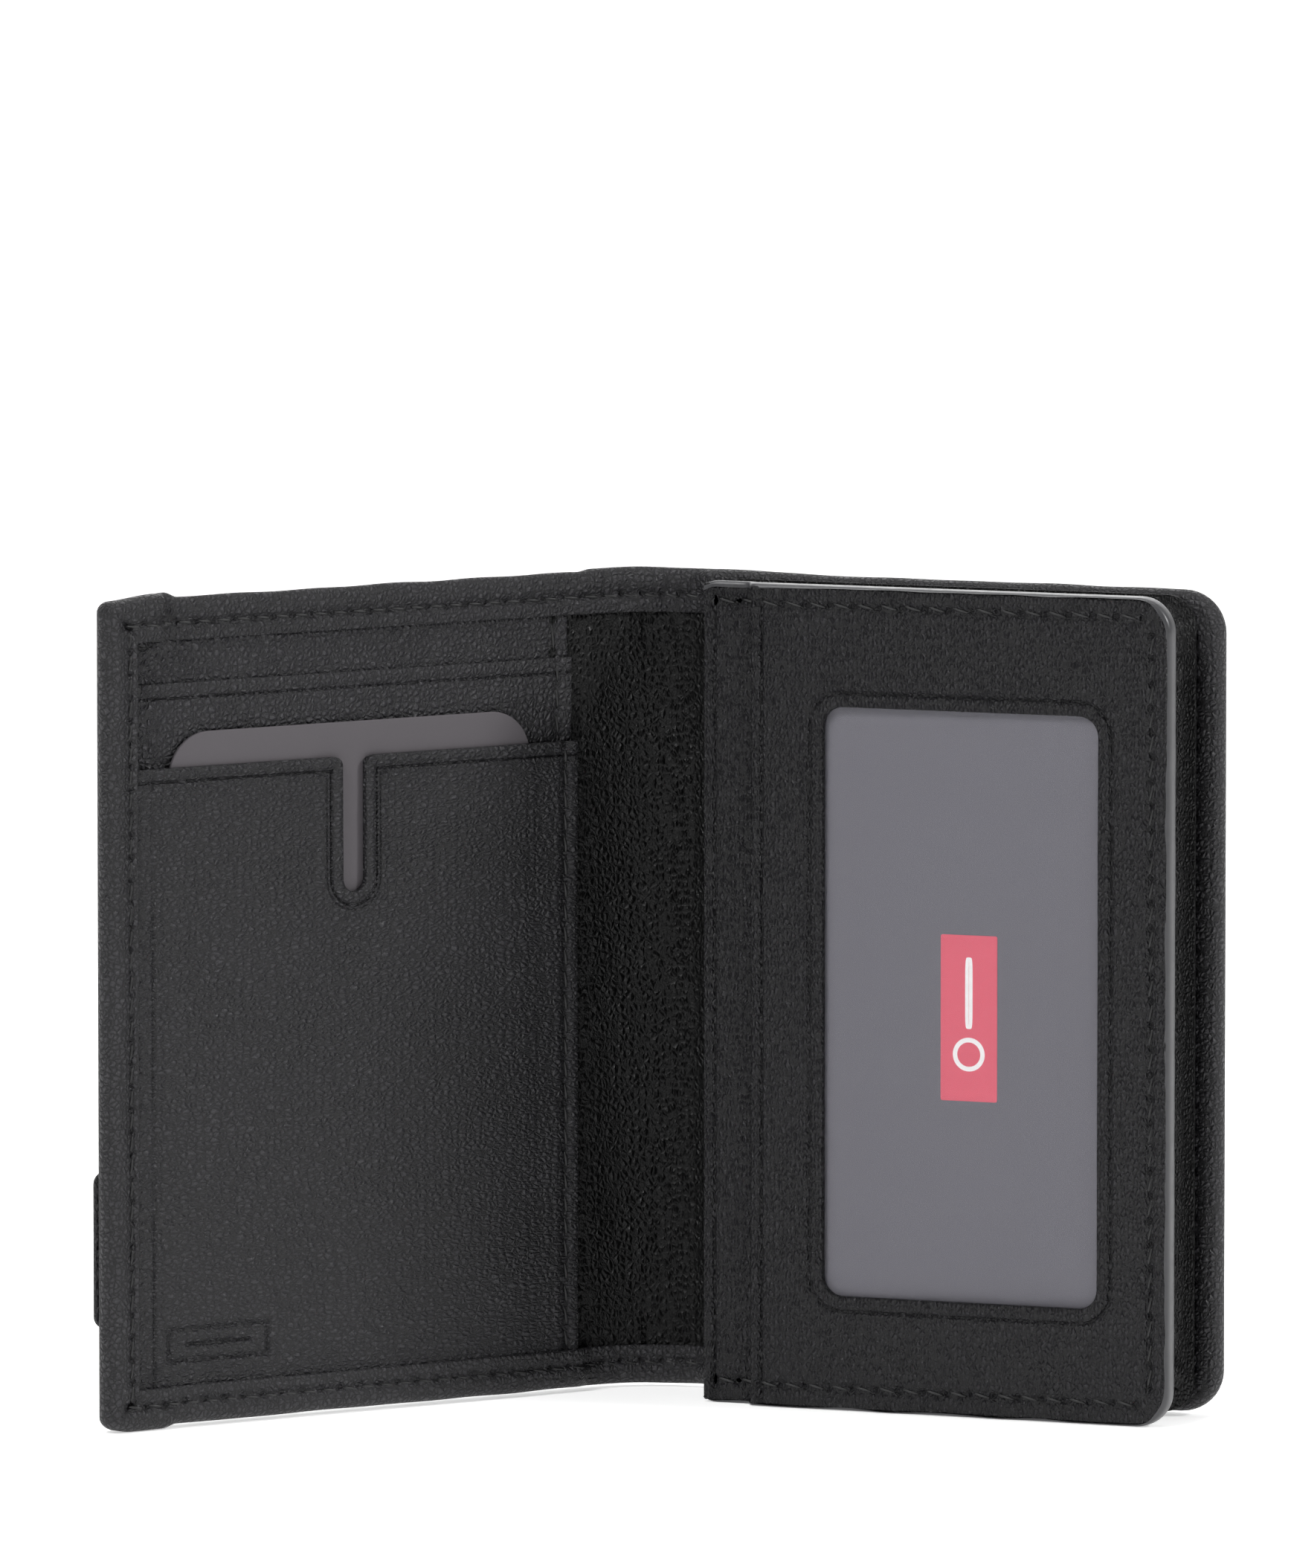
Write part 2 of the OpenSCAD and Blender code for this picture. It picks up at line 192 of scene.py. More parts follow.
def new_piece(name, points, faces, material, merge=True):
    """Makes an object of points in millimetres and blocks of faces with equal corner counts."""
    points = points.reshape(-1, 3)
    centred = points - points.mean(axis=0)
    if signed_volume(centred, faces) < 0:
        faces = [block[:, ::-1] for block in faces]
    mesh = bpy.data.meshes.new(name)
    mesh.vertices.add(len(points))
    mesh.vertices.foreach_set("co", (points * MM).ravel())
    corners = np.concatenate([block.ravel() for block in faces])
    sizes = np.concatenate([np.full(len(block), block.shape[1]) for block in faces])
    mesh.loops.add(len(corners))
    mesh.loops.foreach_set("vertex_index", corners)
    mesh.polygons.add(len(sizes))
    mesh.polygons.foreach_set("loop_start", np.cumsum(sizes) - sizes)
    mesh.polygons.foreach_set("use_smooth", np.ones(len(sizes), bool))
    mesh.update(calc_edges=True)
    if merge:
        merge_close(mesh)
    mesh.validate()
    mesh.set_sharp_from_angle(angle=math.radians(58))
    piece = bpy.data.objects.new(name, mesh)
    bpy.context.scene.collection.objects.link(piece)
    mesh.materials.append(material)
    print(f"{name}: {len(mesh.polygons)} faces")
    return piece


def merge_close(mesh):
    """Joins points that lie on each other, which closes seams and poles."""
    work = bmesh.new()
    work.from_mesh(mesh)
    bmesh.ops.remove_doubles(work, verts=work.verts, dist=2e-6)
    bmesh.ops.dissolve_degenerate(work, edges=work.edges, dist=1e-7)
    work.to_mesh(mesh)
    work.free()


# %% [markdown]
# ## Leather grain and the other finishes
#
# Leather's grain is a net of creases round small pebbles. Voronoi cells give the pebbles, and a
# little noise bends them so that no cell is a plain polygon. The same net serves every leather here
# with its own cell size, stretch and depth, so it is a node group. It puts out a height, for the
# bump, and a mask of the creases, for roughness and for painted shade in the colour. The shader
# itself stays in each material.

# %% Node helpers
def node(tree, kind, place_at=(0, 0), **values):
    """Adds a node and sets its plain properties."""
    made = tree.nodes.new(kind)
    made.location = place_at
    for key, value in values.items():
        setattr(made, key, value)
    return made


def math_node(tree, operation, first, second=None, clamp=False):
    """Adds a Math node fed by sockets or plain numbers, and returns its output."""
    made = node(tree, "ShaderNodeMath", operation=operation, use_clamp=clamp)
    for index, value in enumerate((first, second)):
        if isinstance(value, bpy.types.NodeSocket):
            tree.links.new(value, made.inputs[index])
        elif value is not None:
            made.inputs[index].default_value = value
    return made.outputs[0]


def new_group(name, inputs, outputs):
    """Makes a shader group with float, colour or vector sockets; inputs give (name, kind, value)."""
    tree = bpy.data.node_groups.new(name, "ShaderNodeTree")
    for label, kind, value in inputs:
        socket = tree.interface.new_socket(name=label, in_out="INPUT", socket_type="NodeSocket" + kind)
        if value is not None:
            socket.default_value = value
    for label, kind in outputs:
        tree.interface.new_socket(name=label, in_out="OUTPUT", socket_type="NodeSocket" + kind)
    return tree, node(tree, "NodeGroupInput", (-900, 0)), node(tree, "NodeGroupOutput", (900, 0))


# %% The grain group
def make_grain_group():
    """Height is the pebbles' domes, less creases, plus pores; Crease is 1 in the creases' floor."""
    tree, given, result = new_group(
        "leather grain",
        [
            ("Vector", "Vector", None),
            ("Cell size", "Float", 0.6),
            ("Stretch", "Vector", (1.0, 1.0, 1.0)),
            ("Bend", "Float", 0.5),
            ("Softness", "Float", 0.12),
        ],
        [("Height", "Float"), ("Crease", "Float"), ("Patch", "Float")],
    )
    link = tree.links.new
    scaled = node(tree, "ShaderNodeVectorMath", operation="MULTIPLY")
    link(given.outputs["Vector"], scaled.inputs[0])
    link(given.outputs["Stretch"], scaled.inputs[1])
    per_metre = math_node(tree, "DIVIDE", 1000.0, given.outputs["Cell size"])
    cells = node(tree, "ShaderNodeVectorMath", operation="SCALE")
    link(scaled.outputs[0], cells.inputs[0])
    link(per_metre, cells.inputs["Scale"])
    bender = node(tree, "ShaderNodeTexNoise")
    bender.inputs["Scale"].default_value = 0.7
    bender.inputs["Detail"].default_value = 3.0
    link(cells.outputs[0], bender.inputs["Vector"])
    centred = node(tree, "ShaderNodeVectorMath", operation="SUBTRACT")
    link(bender.outputs["Color"], centred.inputs[0])
    centred.inputs[1].default_value = (0.5, 0.5, 0.5)
    pushed = node(tree, "ShaderNodeVectorMath", operation="SCALE")
    link(centred.outputs[0], pushed.inputs[0])
    link(math_node(tree, "MULTIPLY", given.outputs["Bend"], 2.6), pushed.inputs["Scale"])
    bent = node(tree, "ShaderNodeVectorMath", operation="ADD")
    link(cells.outputs[0], bent.inputs[0])
    link(pushed.outputs[0], bent.inputs[1])
    edge = node(tree, "ShaderNodeTexVoronoi", feature="DISTANCE_TO_EDGE")
    edge.inputs["Scale"].default_value = 1.0
    edge.inputs["Randomness"].default_value = 0.82
    link(bent.outputs[0], edge.inputs["Vector"])
    small = node(tree, "ShaderNodeTexVoronoi", feature="DISTANCE_TO_EDGE")
    small.inputs["Scale"].default_value = 2.1
    link(bent.outputs[0], small.inputs["Vector"])
    dome = node(tree, "ShaderNodeMapRange", interpolation_type="SMOOTHSTEP")
    link(edge.outputs["Distance"], dome.inputs["Value"])
    link(math_node(tree, "MULTIPLY", given.outputs["Softness"], 3.6), dome.inputs["From Max"])
    crease = node(tree, "ShaderNodeMapRange", interpolation_type="SMOOTHSTEP")
    link(edge.outputs["Distance"], crease.inputs["Value"])
    link(math_node(tree, "MULTIPLY", given.outputs["Softness"], 1.9), crease.inputs["From Max"])
    crease.inputs["To Min"].default_value = 1.0
    crease.inputs["To Max"].default_value = 0.0
    fine = node(tree, "ShaderNodeMapRange", interpolation_type="SMOOTHSTEP")
    link(small.outputs["Distance"], fine.inputs["Value"])
    fine.inputs["From Max"].default_value = 0.2
    pores = node(tree, "ShaderNodeTexNoise")
    pores.inputs["Scale"].default_value = 4.5
    pores.inputs["Detail"].default_value = 2.0
    link(cells.outputs[0], pores.inputs["Vector"])
    patch = node(tree, "ShaderNodeTexNoise")
    patch.inputs["Scale"].default_value = 0.06
    patch.inputs["Detail"].default_value = 3.0
    link(cells.outputs[0], patch.inputs["Vector"])
    height = math_node(tree, "MULTIPLY", dome.outputs[0], 0.85)
    height = math_node(tree, "ADD", height, math_node(tree, "MULTIPLY", fine.outputs[0], 0.07))
    height = math_node(tree, "ADD", height, math_node(tree, "MULTIPLY", pores.outputs["Fac"], 0.15))
    link(height, result.inputs["Height"])
    link(crease.outputs[0], result.inputs["Crease"])
    link(patch.outputs["Fac"], result.inputs["Patch"])
    return tree


grain_group = make_grain_group()
print("made the group", grain_group.name)


# %% [markdown]
# ## Materials
#
# Black leather is a dark, slightly cool grey with a soft broad gloss: roughness a little under a
# half, less in the pebbles' tops, which hands polish, and more in the creases, which stay dry. The
# creases' colour is darkened as painted shade. Each material says only how its grain and colour differ.

# %% Material helpers
def new_material(name):
    """An empty material with its tree and Principled shader."""
    material = bpy.data.materials.new(name)
    material.use_nodes = True
    return material, material.node_tree, material.node_tree.nodes["Principled BSDF"]


def grain_node(tree, cell, stretch, bend, softness):
    """Places the grain group on Object coordinates with this material's own values."""
    coordinates = node(tree, "ShaderNodeTexCoord", (-1100, 0))
    grain = node(tree, "ShaderNodeGroup", (-850, 0), node_tree=grain_group)
    tree.links.new(coordinates.outputs["Object"], grain.inputs["Vector"])
    grain.inputs["Cell size"].default_value = cell
    grain.inputs["Stretch"].default_value = stretch
    grain.inputs["Bend"].default_value = bend
    grain.inputs["Softness"].default_value = softness
    return grain


def ramp_mix(tree, factor, dark, light):
    """A Mix node from dark to light by a factor socket, and its colour output."""
    mixer = node(tree, "ShaderNodeMix", data_type="RGBA")
    tree.links.new(factor, mixer.inputs["Factor"])
    mixer.inputs["A"].default_value = (*dark, 1)
    mixer.inputs["B"].default_value = (*light, 1)
    return mixer.outputs["Result"]


def map_range(tree, value, low, high, out_low, out_high):
    """A Map Range node with plain limits, and its output."""
    made = node(tree, "ShaderNodeMapRange")
    tree.links.new(value, made.inputs["Value"])
    for label, number in zip(("From Min", "From Max", "To Min", "To Max"), (low, high, out_low, out_high)):
        made.inputs[label].default_value = number
    return made.outputs[0]


def bump_into(tree, shader, height, depth):
    """Feeds a height socket to the shader's normal, depth being in millimetres."""
    bump = node(tree, "ShaderNodeBump")
    bump.inputs["Strength"].default_value = 1.0
    bump.inputs["Distance"].default_value = depth * MM
    tree.links.new(height, bump.inputs["Height"])
    tree.links.new(bump.outputs["Normal"], shader.inputs["Normal"])


def noise_on_object(tree, scale, detail=2.0):
    """Noise on Object coordinates multiplied by scale, and its output."""
    coordinates = node(tree, "ShaderNodeTexCoord")
    scaled = node(tree, "ShaderNodeMapping")
    scaled.inputs["Scale"].default_value = scale
    tree.links.new(coordinates.outputs["Object"], scaled.inputs["Vector"])
    noise = node(tree, "ShaderNodeTexNoise")
    noise.inputs["Scale"].default_value = 1.0
    noise.inputs["Detail"].default_value = detail
    tree.links.new(scaled.outputs[0], noise.inputs["Vector"])
    return noise.outputs["Fac"]


# %% Leather
def leather(
    name, colour, cell=0.6, stretch=(1, 1, 1), bend=0.5, softness=0.12, depth=0.05, rough=0.5, shine=0.36
):
    """Grain into bump, creases into a rougher surface with painted shade in their colour, and broad patches
    of wear.
    """
    material, tree, shader = new_material(name)
    grain = grain_node(tree, cell, stretch, bend, softness)
    light = tuple(channel * 1.15 for channel in colour)
    dark = tuple(channel * 0.85 for channel in colour)
    worn = ramp_mix(tree, map_range(tree, grain.outputs["Patch"], 0.3, 0.7, 0, 1), dark, light)
    # Painted shade: the creases' colour is multiplied towards near-black.
    crease_shade = node(tree, "ShaderNodeMix", data_type="RGBA", blend_type="MULTIPLY")
    tree.links.new(map_range(tree, grain.outputs["Crease"], 0, 1, 0, 0.9), crease_shade.inputs["Factor"])
    tree.links.new(worn, crease_shade.inputs["A"])
    crease_shade.inputs["B"].default_value = (0.1, 0.1, 0.105, 1)
    tree.links.new(crease_shade.outputs["Result"], shader.inputs["Base Color"])
    gloss = math_node(tree, "MULTIPLY", grain.outputs["Crease"], 0.16)
    broad = map_range(tree, grain.outputs["Patch"], 0.3, 0.7, rough - 0.03, rough + 0.05)
    gloss = math_node(tree, "ADD", gloss, broad)
    tree.links.new(gloss, shader.inputs["Roughness"])
    bump_into(tree, shader, grain.outputs["Height"], depth)
    shader.inputs["Specular IOR Level"].default_value = shine
    return material


# Painted shade: the panel leather's base colour is set darker than the covers', and the spine lining's much
# darker still.
OUTER = leather("outer leather", (0.0245, 0.0237, 0.0268), cell=0.72, bend=0.4, depth=0.26, rough=0.42)
SLOT = leather("slot leather", (0.033, 0.032, 0.0358), cell=0.78, bend=0.35, depth=0.36, rough=0.38)
POCKET = leather("pocket leather", (0.0245, 0.0238, 0.027), cell=0.78, stretch=(0.8, 0.8, 1.4), bend=0.45,
                 softness=0.13, depth=0.32, rough=0.39)
SHADED_PANEL = leather("panel leather", (0.0118, 0.0112, 0.0135), cell=0.66, stretch=(1.2, 1.2, 0.75), bend=0.4,
                softness=0.12, depth=0.3, rough=0.41)
SHADED_LINING = leather("spine lining leather", (0.0032, 0.0032, 0.0033), cell=0.84, stretch=(1.1, 1.1, 0.85),
                 bend=0.35, softness=0.15, depth=0.34, rough=0.35, shine=0.24)
GUSSET = leather("gusset leather", (0.015, 0.0148, 0.0155), cell=0.5, stretch=(1.3, 1.3, 0.7), bend=0.5,
                 depth=0.15, rough=0.34)


# %% Thread, paint, cards and film
def fine_material(name, colour, rough, cell, depth, spread=0.08, stretch=(1, 1, 1)):
    """A smooth finish with a faint mottle: noise into colour, roughness and a shallow bump."""
    material, tree, shader = new_material(name)
    noise = noise_on_object(tree, tuple(1000 / cell * amount for amount in stretch), 4.0)
    tint = map_range(tree, noise, 0.3, 0.7, 0, 1)
    low = tuple(channel * (1 - spread) for channel in colour)
    high = tuple(channel * (1 + spread) for channel in colour)
    tree.links.new(ramp_mix(tree, tint, low, high), shader.inputs["Base Color"])
    roughness = map_range(tree, noise, 0.3, 0.7, rough - 0.05, rough + 0.05)
    tree.links.new(roughness, shader.inputs["Roughness"])
    bump_into(tree, shader, noise, depth)
    return material


BOARD = fine_material("grey board", (0.18, 0.17, 0.16), 0.85, 0.5, 0.02, 0.15)
FABRIC = fine_material("slot fabric", (0.02, 0.02, 0.021), 0.9, 0.2, 0.03, 0.2)
THREAD = fine_material("waxed thread", (0.006, 0.006, 0.0065), 0.5, 0.12, 0.03, 0.3)
PAINT = fine_material("edge paint", (0.042, 0.042, 0.045), 0.36, 1.2, 0.012, 0.1)
CARD = fine_material("pocket card stock", (0.066, 0.059, 0.066), 0.62, 0.25, 0.004, 0.06)
INSERT = fine_material("insert stock", (0.142, 0.138, 0.161), 0.6, 0.4, 0.0006, 0.02)
LABEL = fine_material("red label", (0.72, 0.118, 0.172), 0.5, 0.4, 0.0006, 0.03)
MARK = fine_material("label mark", (0.90, 0.88, 0.89), 0.5, 0.4, 0.0006, 0.03)


def film_material():
    """Clear vinyl: nearly see-through face on, more opaque at a slant: alpha grows with Facing cubed."""
    material, tree, shader = new_material("clear vinyl film")
    shader.inputs["Base Color"].default_value = (0.10, 0.10, 0.105, 1)
    slant = node(tree, "ShaderNodeLayerWeight")
    steep = math_node(tree, "POWER", slant.outputs["Facing"], 3.0)
    alpha = math_node(tree, "ADD", math_node(tree, "MULTIPLY", steep, 0.6), 0.05, clamp=True)
    tree.links.new(alpha, shader.inputs["Alpha"])
    noise = noise_on_object(tree, (40, 40, 40))
    bump_into(tree, shader, noise, 0.35)
    tree.links.new(map_range(tree, noise, 0.3, 0.7, 0.1, 0.2), shader.inputs["Roughness"])
    return material


FILM = film_material()
print("made", len(bpy.data.materials), "materials")

# %% [markdown]
# ## Stitches and what they do to leather
#
# A stitch row is a line on the flat drawing. The thread pulls the leather down, so each row is a
# groove, with a small pit at every needle hole. Keeping a row as data lets the leather sink and the
# thread lie in the same places.

# %% Rows of stitches
PITCH = 2.8
PANEL_PITCH = 3.05


def row(start, end, pitch=PITCH):
    """A row from one point of the flat drawing to another, with a whole number of stitches."""
    start, end = np.array(start, float), np.array(end, float)
    length = np.linalg.norm(end - start)
    count = max(int(length / pitch), 1)
    way = (end - start) / length
    return {"start": start, "way": way, "length": length, "count": count, "pitch": length / count}


def sunk(s, z, rows, groove=0.26, pit=0.5):
    """Depth lost at a point: a groove along each row and a pit round each needle hole."""
    total = 0.0
    for line in rows:
        ds, dz = s - line["start"][0], z - line["start"][1]
        along = ds * line["way"][0] + dz * line["way"][1]
        across = ds * line["way"][1] - dz * line["way"][0]
        inside = smooth(along, -0.9, 0.1) * smooth(line["length"] - along, -0.9, 0.1)
        off_hole = along - np.round(along / line["pitch"]) * line["pitch"]
        holes = pit * bell(off_hole, 0.4) * bell(across, 0.4)
        total = total + inside * (groove * bell(across, 0.62) + holes)
    return total


def thread_piece(name, rows, surface, bend_to, outwards=1.0, lean=0.12):
    """Each stitch is a thin closed tube that dives at both ends: radius and rise follow sin along it."""
    station = np.linspace(0, 1, 8)[None, :, None]
    around = (np.arange(7) * 2 * math.pi / 7)[None, None, :]
    points = []
    for line in rows:
        centre = ((np.arange(line["count"]) + 0.5) * line["pitch"])[:, None, None]
        length = line["pitch"] * 0.8
        radius = 0.2 * np.sin(math.pi * np.clip(station, 0.0, 1)) ** 0.35
        rise = 0.13 * np.sin(math.pi * station) - 0.12
        along = centre + (station - 0.5) * length + 0 * around
        across = radius * np.cos(around) + lean * (station - 0.5) * length + 0 * centre
        s = line["start"][0] + along * line["way"][0] + across * line["way"][1]
        z = line["start"][1] + along * line["way"][1] - across * line["way"][0]
        height = rise + radius * np.sin(around) + 0 * centre
        points.append(bend_to(s, surface(s, z) + outwards * height, z))
    points = np.concatenate(points)
    count, rows_in, columns = points.shape[:3]
    quads = grid_faces(rows_in, columns, wrap_columns=True)
    faces = (quads[None] + np.arange(count)[:, None, None] * rows_in * columns).reshape(-1, 4)
    return new_piece(name, points, [faces], THREAD)


# %% [markdown]
# ## Outlines and rings
#
# Covers, cards and the window's frame are all rounded rectangles, and so is every line drawn parallel
# to their edges. A surface is then a stack of such rings: each ring has its own inset from the edge and
# its own depth. Rings that have shrunk to the middle line close the face.

# %% Rounded rectangles as rings
def ring(low, high, radii, inset=0.0, long_points=200, short_points=120, corner_points=10):
    """Points round a rectangle moved in by inset; the corners' radii shrink with it but stay above 0."""
    x0, z0 = low[0] + inset, low[1] + inset
    x1, z1 = high[0] - inset, high[1] - inset
    r = [max(radius - inset, 0.03) for radius in radii]
    corners = [(x1 - r[0], z0 + r[0], -90, r[0]), (x1 - r[1], z1 - r[1], 0, r[1]),
               (x0 + r[2], z1 - r[2], 90, r[2]), (x0 + r[3], z0 + r[3], 180, r[3])]
    path = []
    for index, (cx, cz, first, radius) in enumerate(corners):
        turn = np.radians(first + np.linspace(0, 90, corner_points))
        path.append(np.stack([cx + radius * np.cos(turn), cz + radius * np.sin(turn)], -1))
        nx, nz, next_first, next_radius = corners[(index + 1) % 4]
        start = path[-1][-1]
        begin = np.radians(next_first)
        end = np.array([nx + next_radius * math.cos(begin), nz + next_radius * math.sin(begin)])
        count = long_points if index in (0, 2) else short_points
        share = np.linspace(0, 1, count + 2)[1:-1, None]
        path.append(start + (end - start) * share)
    return np.concatenate(path)


def middle_line(path, low, high):
    """Each point moved to the nearest point of the rectangle's middle line, which closes a face."""
    half = min(high[0] - low[0], high[1] - low[1]) / 2
    return np.stack([np.clip(path[:, 0], low[0] + half, high[0] - half),
                     np.clip(path[:, 1], low[1] + half, high[1] - half)], -1)


def rounding(radius, steps=4):
    """Insets and drops of a quarter-round edge, from the face to the wall."""
    turn = np.linspace(0, math.pi / 2, steps + 1)
    return list(zip(radius * (1 - np.sin(turn)), radius * (1 - np.cos(turn))))


def slab(
    name, low, high, radii, bottom, top, bend_to, material, slot, edge=0.15, insets=(), relief=None, **counts
):
    """A plate with round edges on both faces: rings up from the bottom's middle to the top's middle."""
    outline = {}

    def at(inset):
        if inset not in outline:
            outline[inset] = ring(low, high, radii, inset, **counts)
        return outline[inset]

    inner = at(edge)
    rise = 1.0 if top > bottom else -1.0
    rings = [(middle_line(inner, low, high), bottom)]
    rings += [(at(inset), bottom + rise * drop) for inset, drop in rounding(edge)]
    rings += [(at(inset), top - rise * drop) for inset, drop in rounding(edge)[::-1]]
    rings += [(at(inset), top) for inset in insets]
    innermost, line = at(max([edge, *insets])), middle_line(inner, low, high)
    rings += [(mix(innermost, line, share), top) for share in (0.25, 0.5, 0.75, 1.0)]
    path = np.array([points for points, _ in rings])
    depth = np.array([level for _, level in rings])[:, None] + np.zeros(path.shape[:2])
    if relief is not None:
        lift = relief(path[..., 0], path[..., 1])
        depth = depth + lift * smooth(depth, bottom, top)
    points = bend_to(path[..., 0], depth, path[..., 1])
    faces = grid_faces(*path.shape[:2], wrap_columns=True)
    return new_piece(name, points, [faces], material)


# %% [markdown]
# ## Outer leather and its turned hems
#
# One skin covers the outside, rolls round the edge and is turned in as a hem. It is drawn as U-shaped
# rings that start and end at the middle of the spine, so the skin is two pieces that meet there, and
# each bends across one fold only. At the front cover's free corners the hem is doubled, which leaves a
# low step where the extra leather ends.

# %% Thickness and outline of the covers
HEM_TOP, HEM_BOTTOM, HEM_SIDE = 5.4, 5.4, 4.6
HEMS = (HEM_SIDE, HEM_BOTTOM, HEM_TOP)
ROW_TOP, ROW_BOTTOM = 3.2, 3.2
CORNER_FOLD = 9.4
BASE = 0.45


def thickness(s, z):
    """The spine's thickness, growing smoothly to each cover's; the front's top hem is the thinnest."""
    x = -s - SPINE
    from_edge = FRONT_W - x
    lowered = smooth(from_edge, CORNER_FOLD - 0.9, CORNER_FOLD + 0.1)
    lowered = lowered * smooth(z, HEIGHT - 8.5, HEIGHT - 5.5)
    front = mix(FRONT_T, FRONT_TOP_T, lowered)
    total = mix(SPINE_T, BACK_T, smooth(s, -0.2, 2.4))
    return mix(total, front, smooth(x, -0.2, 2.4))


def outline_shift(s, z, inset):
    """How far the top and bottom edges stand proud: the front's doubled corners, and a little unevenness."""
    near_edge = 1 - smooth(inset, 0.5, 6.5)
    from_edge = FRONT_W + SPINE + s
    top_ends = 1 - smooth(from_edge, CORNER_FOLD + 0.6, CORNER_FOLD + 2.5)
    fold_top = 0.6 * smooth(from_edge, 0.5, 8.5) * top_ends
    base_ends = 1 - smooth(from_edge, CORNER_FOLD - 0.8, CORNER_FOLD + 1.2)
    fold_base = 0.45 * smooth(from_edge, 0.3, 4) * base_ends
    on_spine = smooth(s, -SPINE - 1.2, -SPINE + 1) * (1 - smooth(s, 6, 18))
    uneven = 0.05 * ripple(s, z, 11, 3)
    up = (fold_top + 0.35 * on_spine + uneven) * smooth(z, HEIGHT - 12, HEIGHT - 3)
    down = (fold_base - BASE + uneven) * (1 - smooth(z, 3, 12))
    return near_edge * (up - down)


def spine_puckers(s, z):
    """Short upright wrinkles where the hems are gathered round the spine's inside."""
    around = smooth(s, -SPINE - 0.5, -SPINE + 1.5) * (1 - smooth(s, -1.5, 1))
    hem = smooth(z, HEIGHT - 6, HEIGHT - 3) + 1.3 * (1 - smooth(z, 2.5, 6))
    wave = np.sin(s * 2 * math.pi / 1.15 + 0.9 * np.sin(s * 1.3)) + 0.4 * np.sin(s * 2 * math.pi / 0.71)
    return 0.07 * around * hem * wave


def mitre(s, z, corner_s, corner_z, toward):
    """A crease along the 45 degree line from an outer corner towards the inside of the hem."""
    ds, dz = (s - corner_s) * toward[0], (z - corner_z) * toward[1]
    return bell((ds - dz) / math.sqrt(2), 0.22) * smooth(ds + dz, 0.6, 2.4) * (1 - smooth(ds + dz, 8.6, 10))


# %% The two halves of the skin
HALVES = {
    "front": {"way": -1.0, "width": FRONT_W, "radius": 1.5, "body": "front_cover"},
    "back": {"way": 1.0, "width": BACK_W, "radius": 5.5, "body": "back_cover"},
}
for half in HALVES.values():
    half["end"] = SPINE / 2 + half["width"]


def to_s(half, q):
    """Distance along the leather from the middle of the spine, turned into s."""
    return -SPINE / 2 + half["way"] * q


def hem_rows(half, side_in=3.5, first=0.9):
    """The stitch rows of one half, top, side and bottom, as lines in s and z."""
    end = half["end"]
    turn = max(half["radius"] * 0.6, 1.0) + 1.6
    inner_s = to_s(half, 0.0)
    top = row((inner_s, HEIGHT - ROW_TOP), (to_s(half, end - turn), HEIGHT - ROW_TOP))
    side_s = to_s(half, end - side_in)
    side = row((side_s, HEIGHT - turn - first), (side_s, turn + first))
    bottom = row((inner_s, ROW_BOTTOM), (to_s(half, end - turn), ROW_BOTTOM))
    return [top, side, bottom]


def skin_rings(half):
    """Insets along the side, bottom and top, and the ring's place on the profile, from outside to inside."""
    rings = []
    for inset in (HEIGHT / 2, 48, 44, 40, 36, 32, 28, 24, 20, 17, 14, 11, 8):
        rings.append((inset, inset, inset, "outer", 0.0))
    for inset in np.linspace(5.6, 1.6, 15):
        rings.append((inset, inset, inset, "outer", 0.0))
    for turn in np.linspace(0, math.pi, 15):
        inset = 1.4 * (1 - math.sin(turn))
        rings.append((inset, inset, inset, "edge", (1 - math.cos(turn)) / 2))
    for share in np.linspace(0, 1, 21)[1:]:
        rings.append((*(mix(1.4, hem - 0.18, share) for hem in HEMS), "inner", 1.0))
    for step, fall in ((0.06, 0.03), (0.0, 0.12), (0.02, 0.4), (0.04, 1.0)):
        rings.append((*(hem - step for hem in HEMS), "wall", fall))
    for inset in (12, 30, HEIGHT / 2):
        rings.append((inset, inset, inset, "floor", 0.0))
    return rings


def u_ring(half, side_in, bottom_in, top_in, long_count=250, side_count=300, corner_count=9):
    """A U from the spine's middle along the bottom, up the free side and back along the top."""
    end = half["end"] - side_in
    radius = max(half["radius"] - min(side_in, bottom_in), 0.05)
    low, high = bottom_in, HEIGHT - top_in
    share = np.linspace(0, 1, long_count)
    run = share * (end - radius)
    turn = np.linspace(0, math.pi / 2, corner_count + 2)[1:-1]
    climb = np.linspace(min(low + radius, HEIGHT / 2), max(high - radius, HEIGHT / 2), side_count)
    q = np.concatenate([run, end - radius + radius * np.sin(turn), np.full(side_count, end),
                        end - radius + radius * np.cos(turn), run[::-1]])
    z = np.concatenate([np.full(long_count, low), low + radius - radius * np.cos(turn), climb,
                        high - radius + radius * np.sin(turn), np.full(long_count, high)])
    return q, z


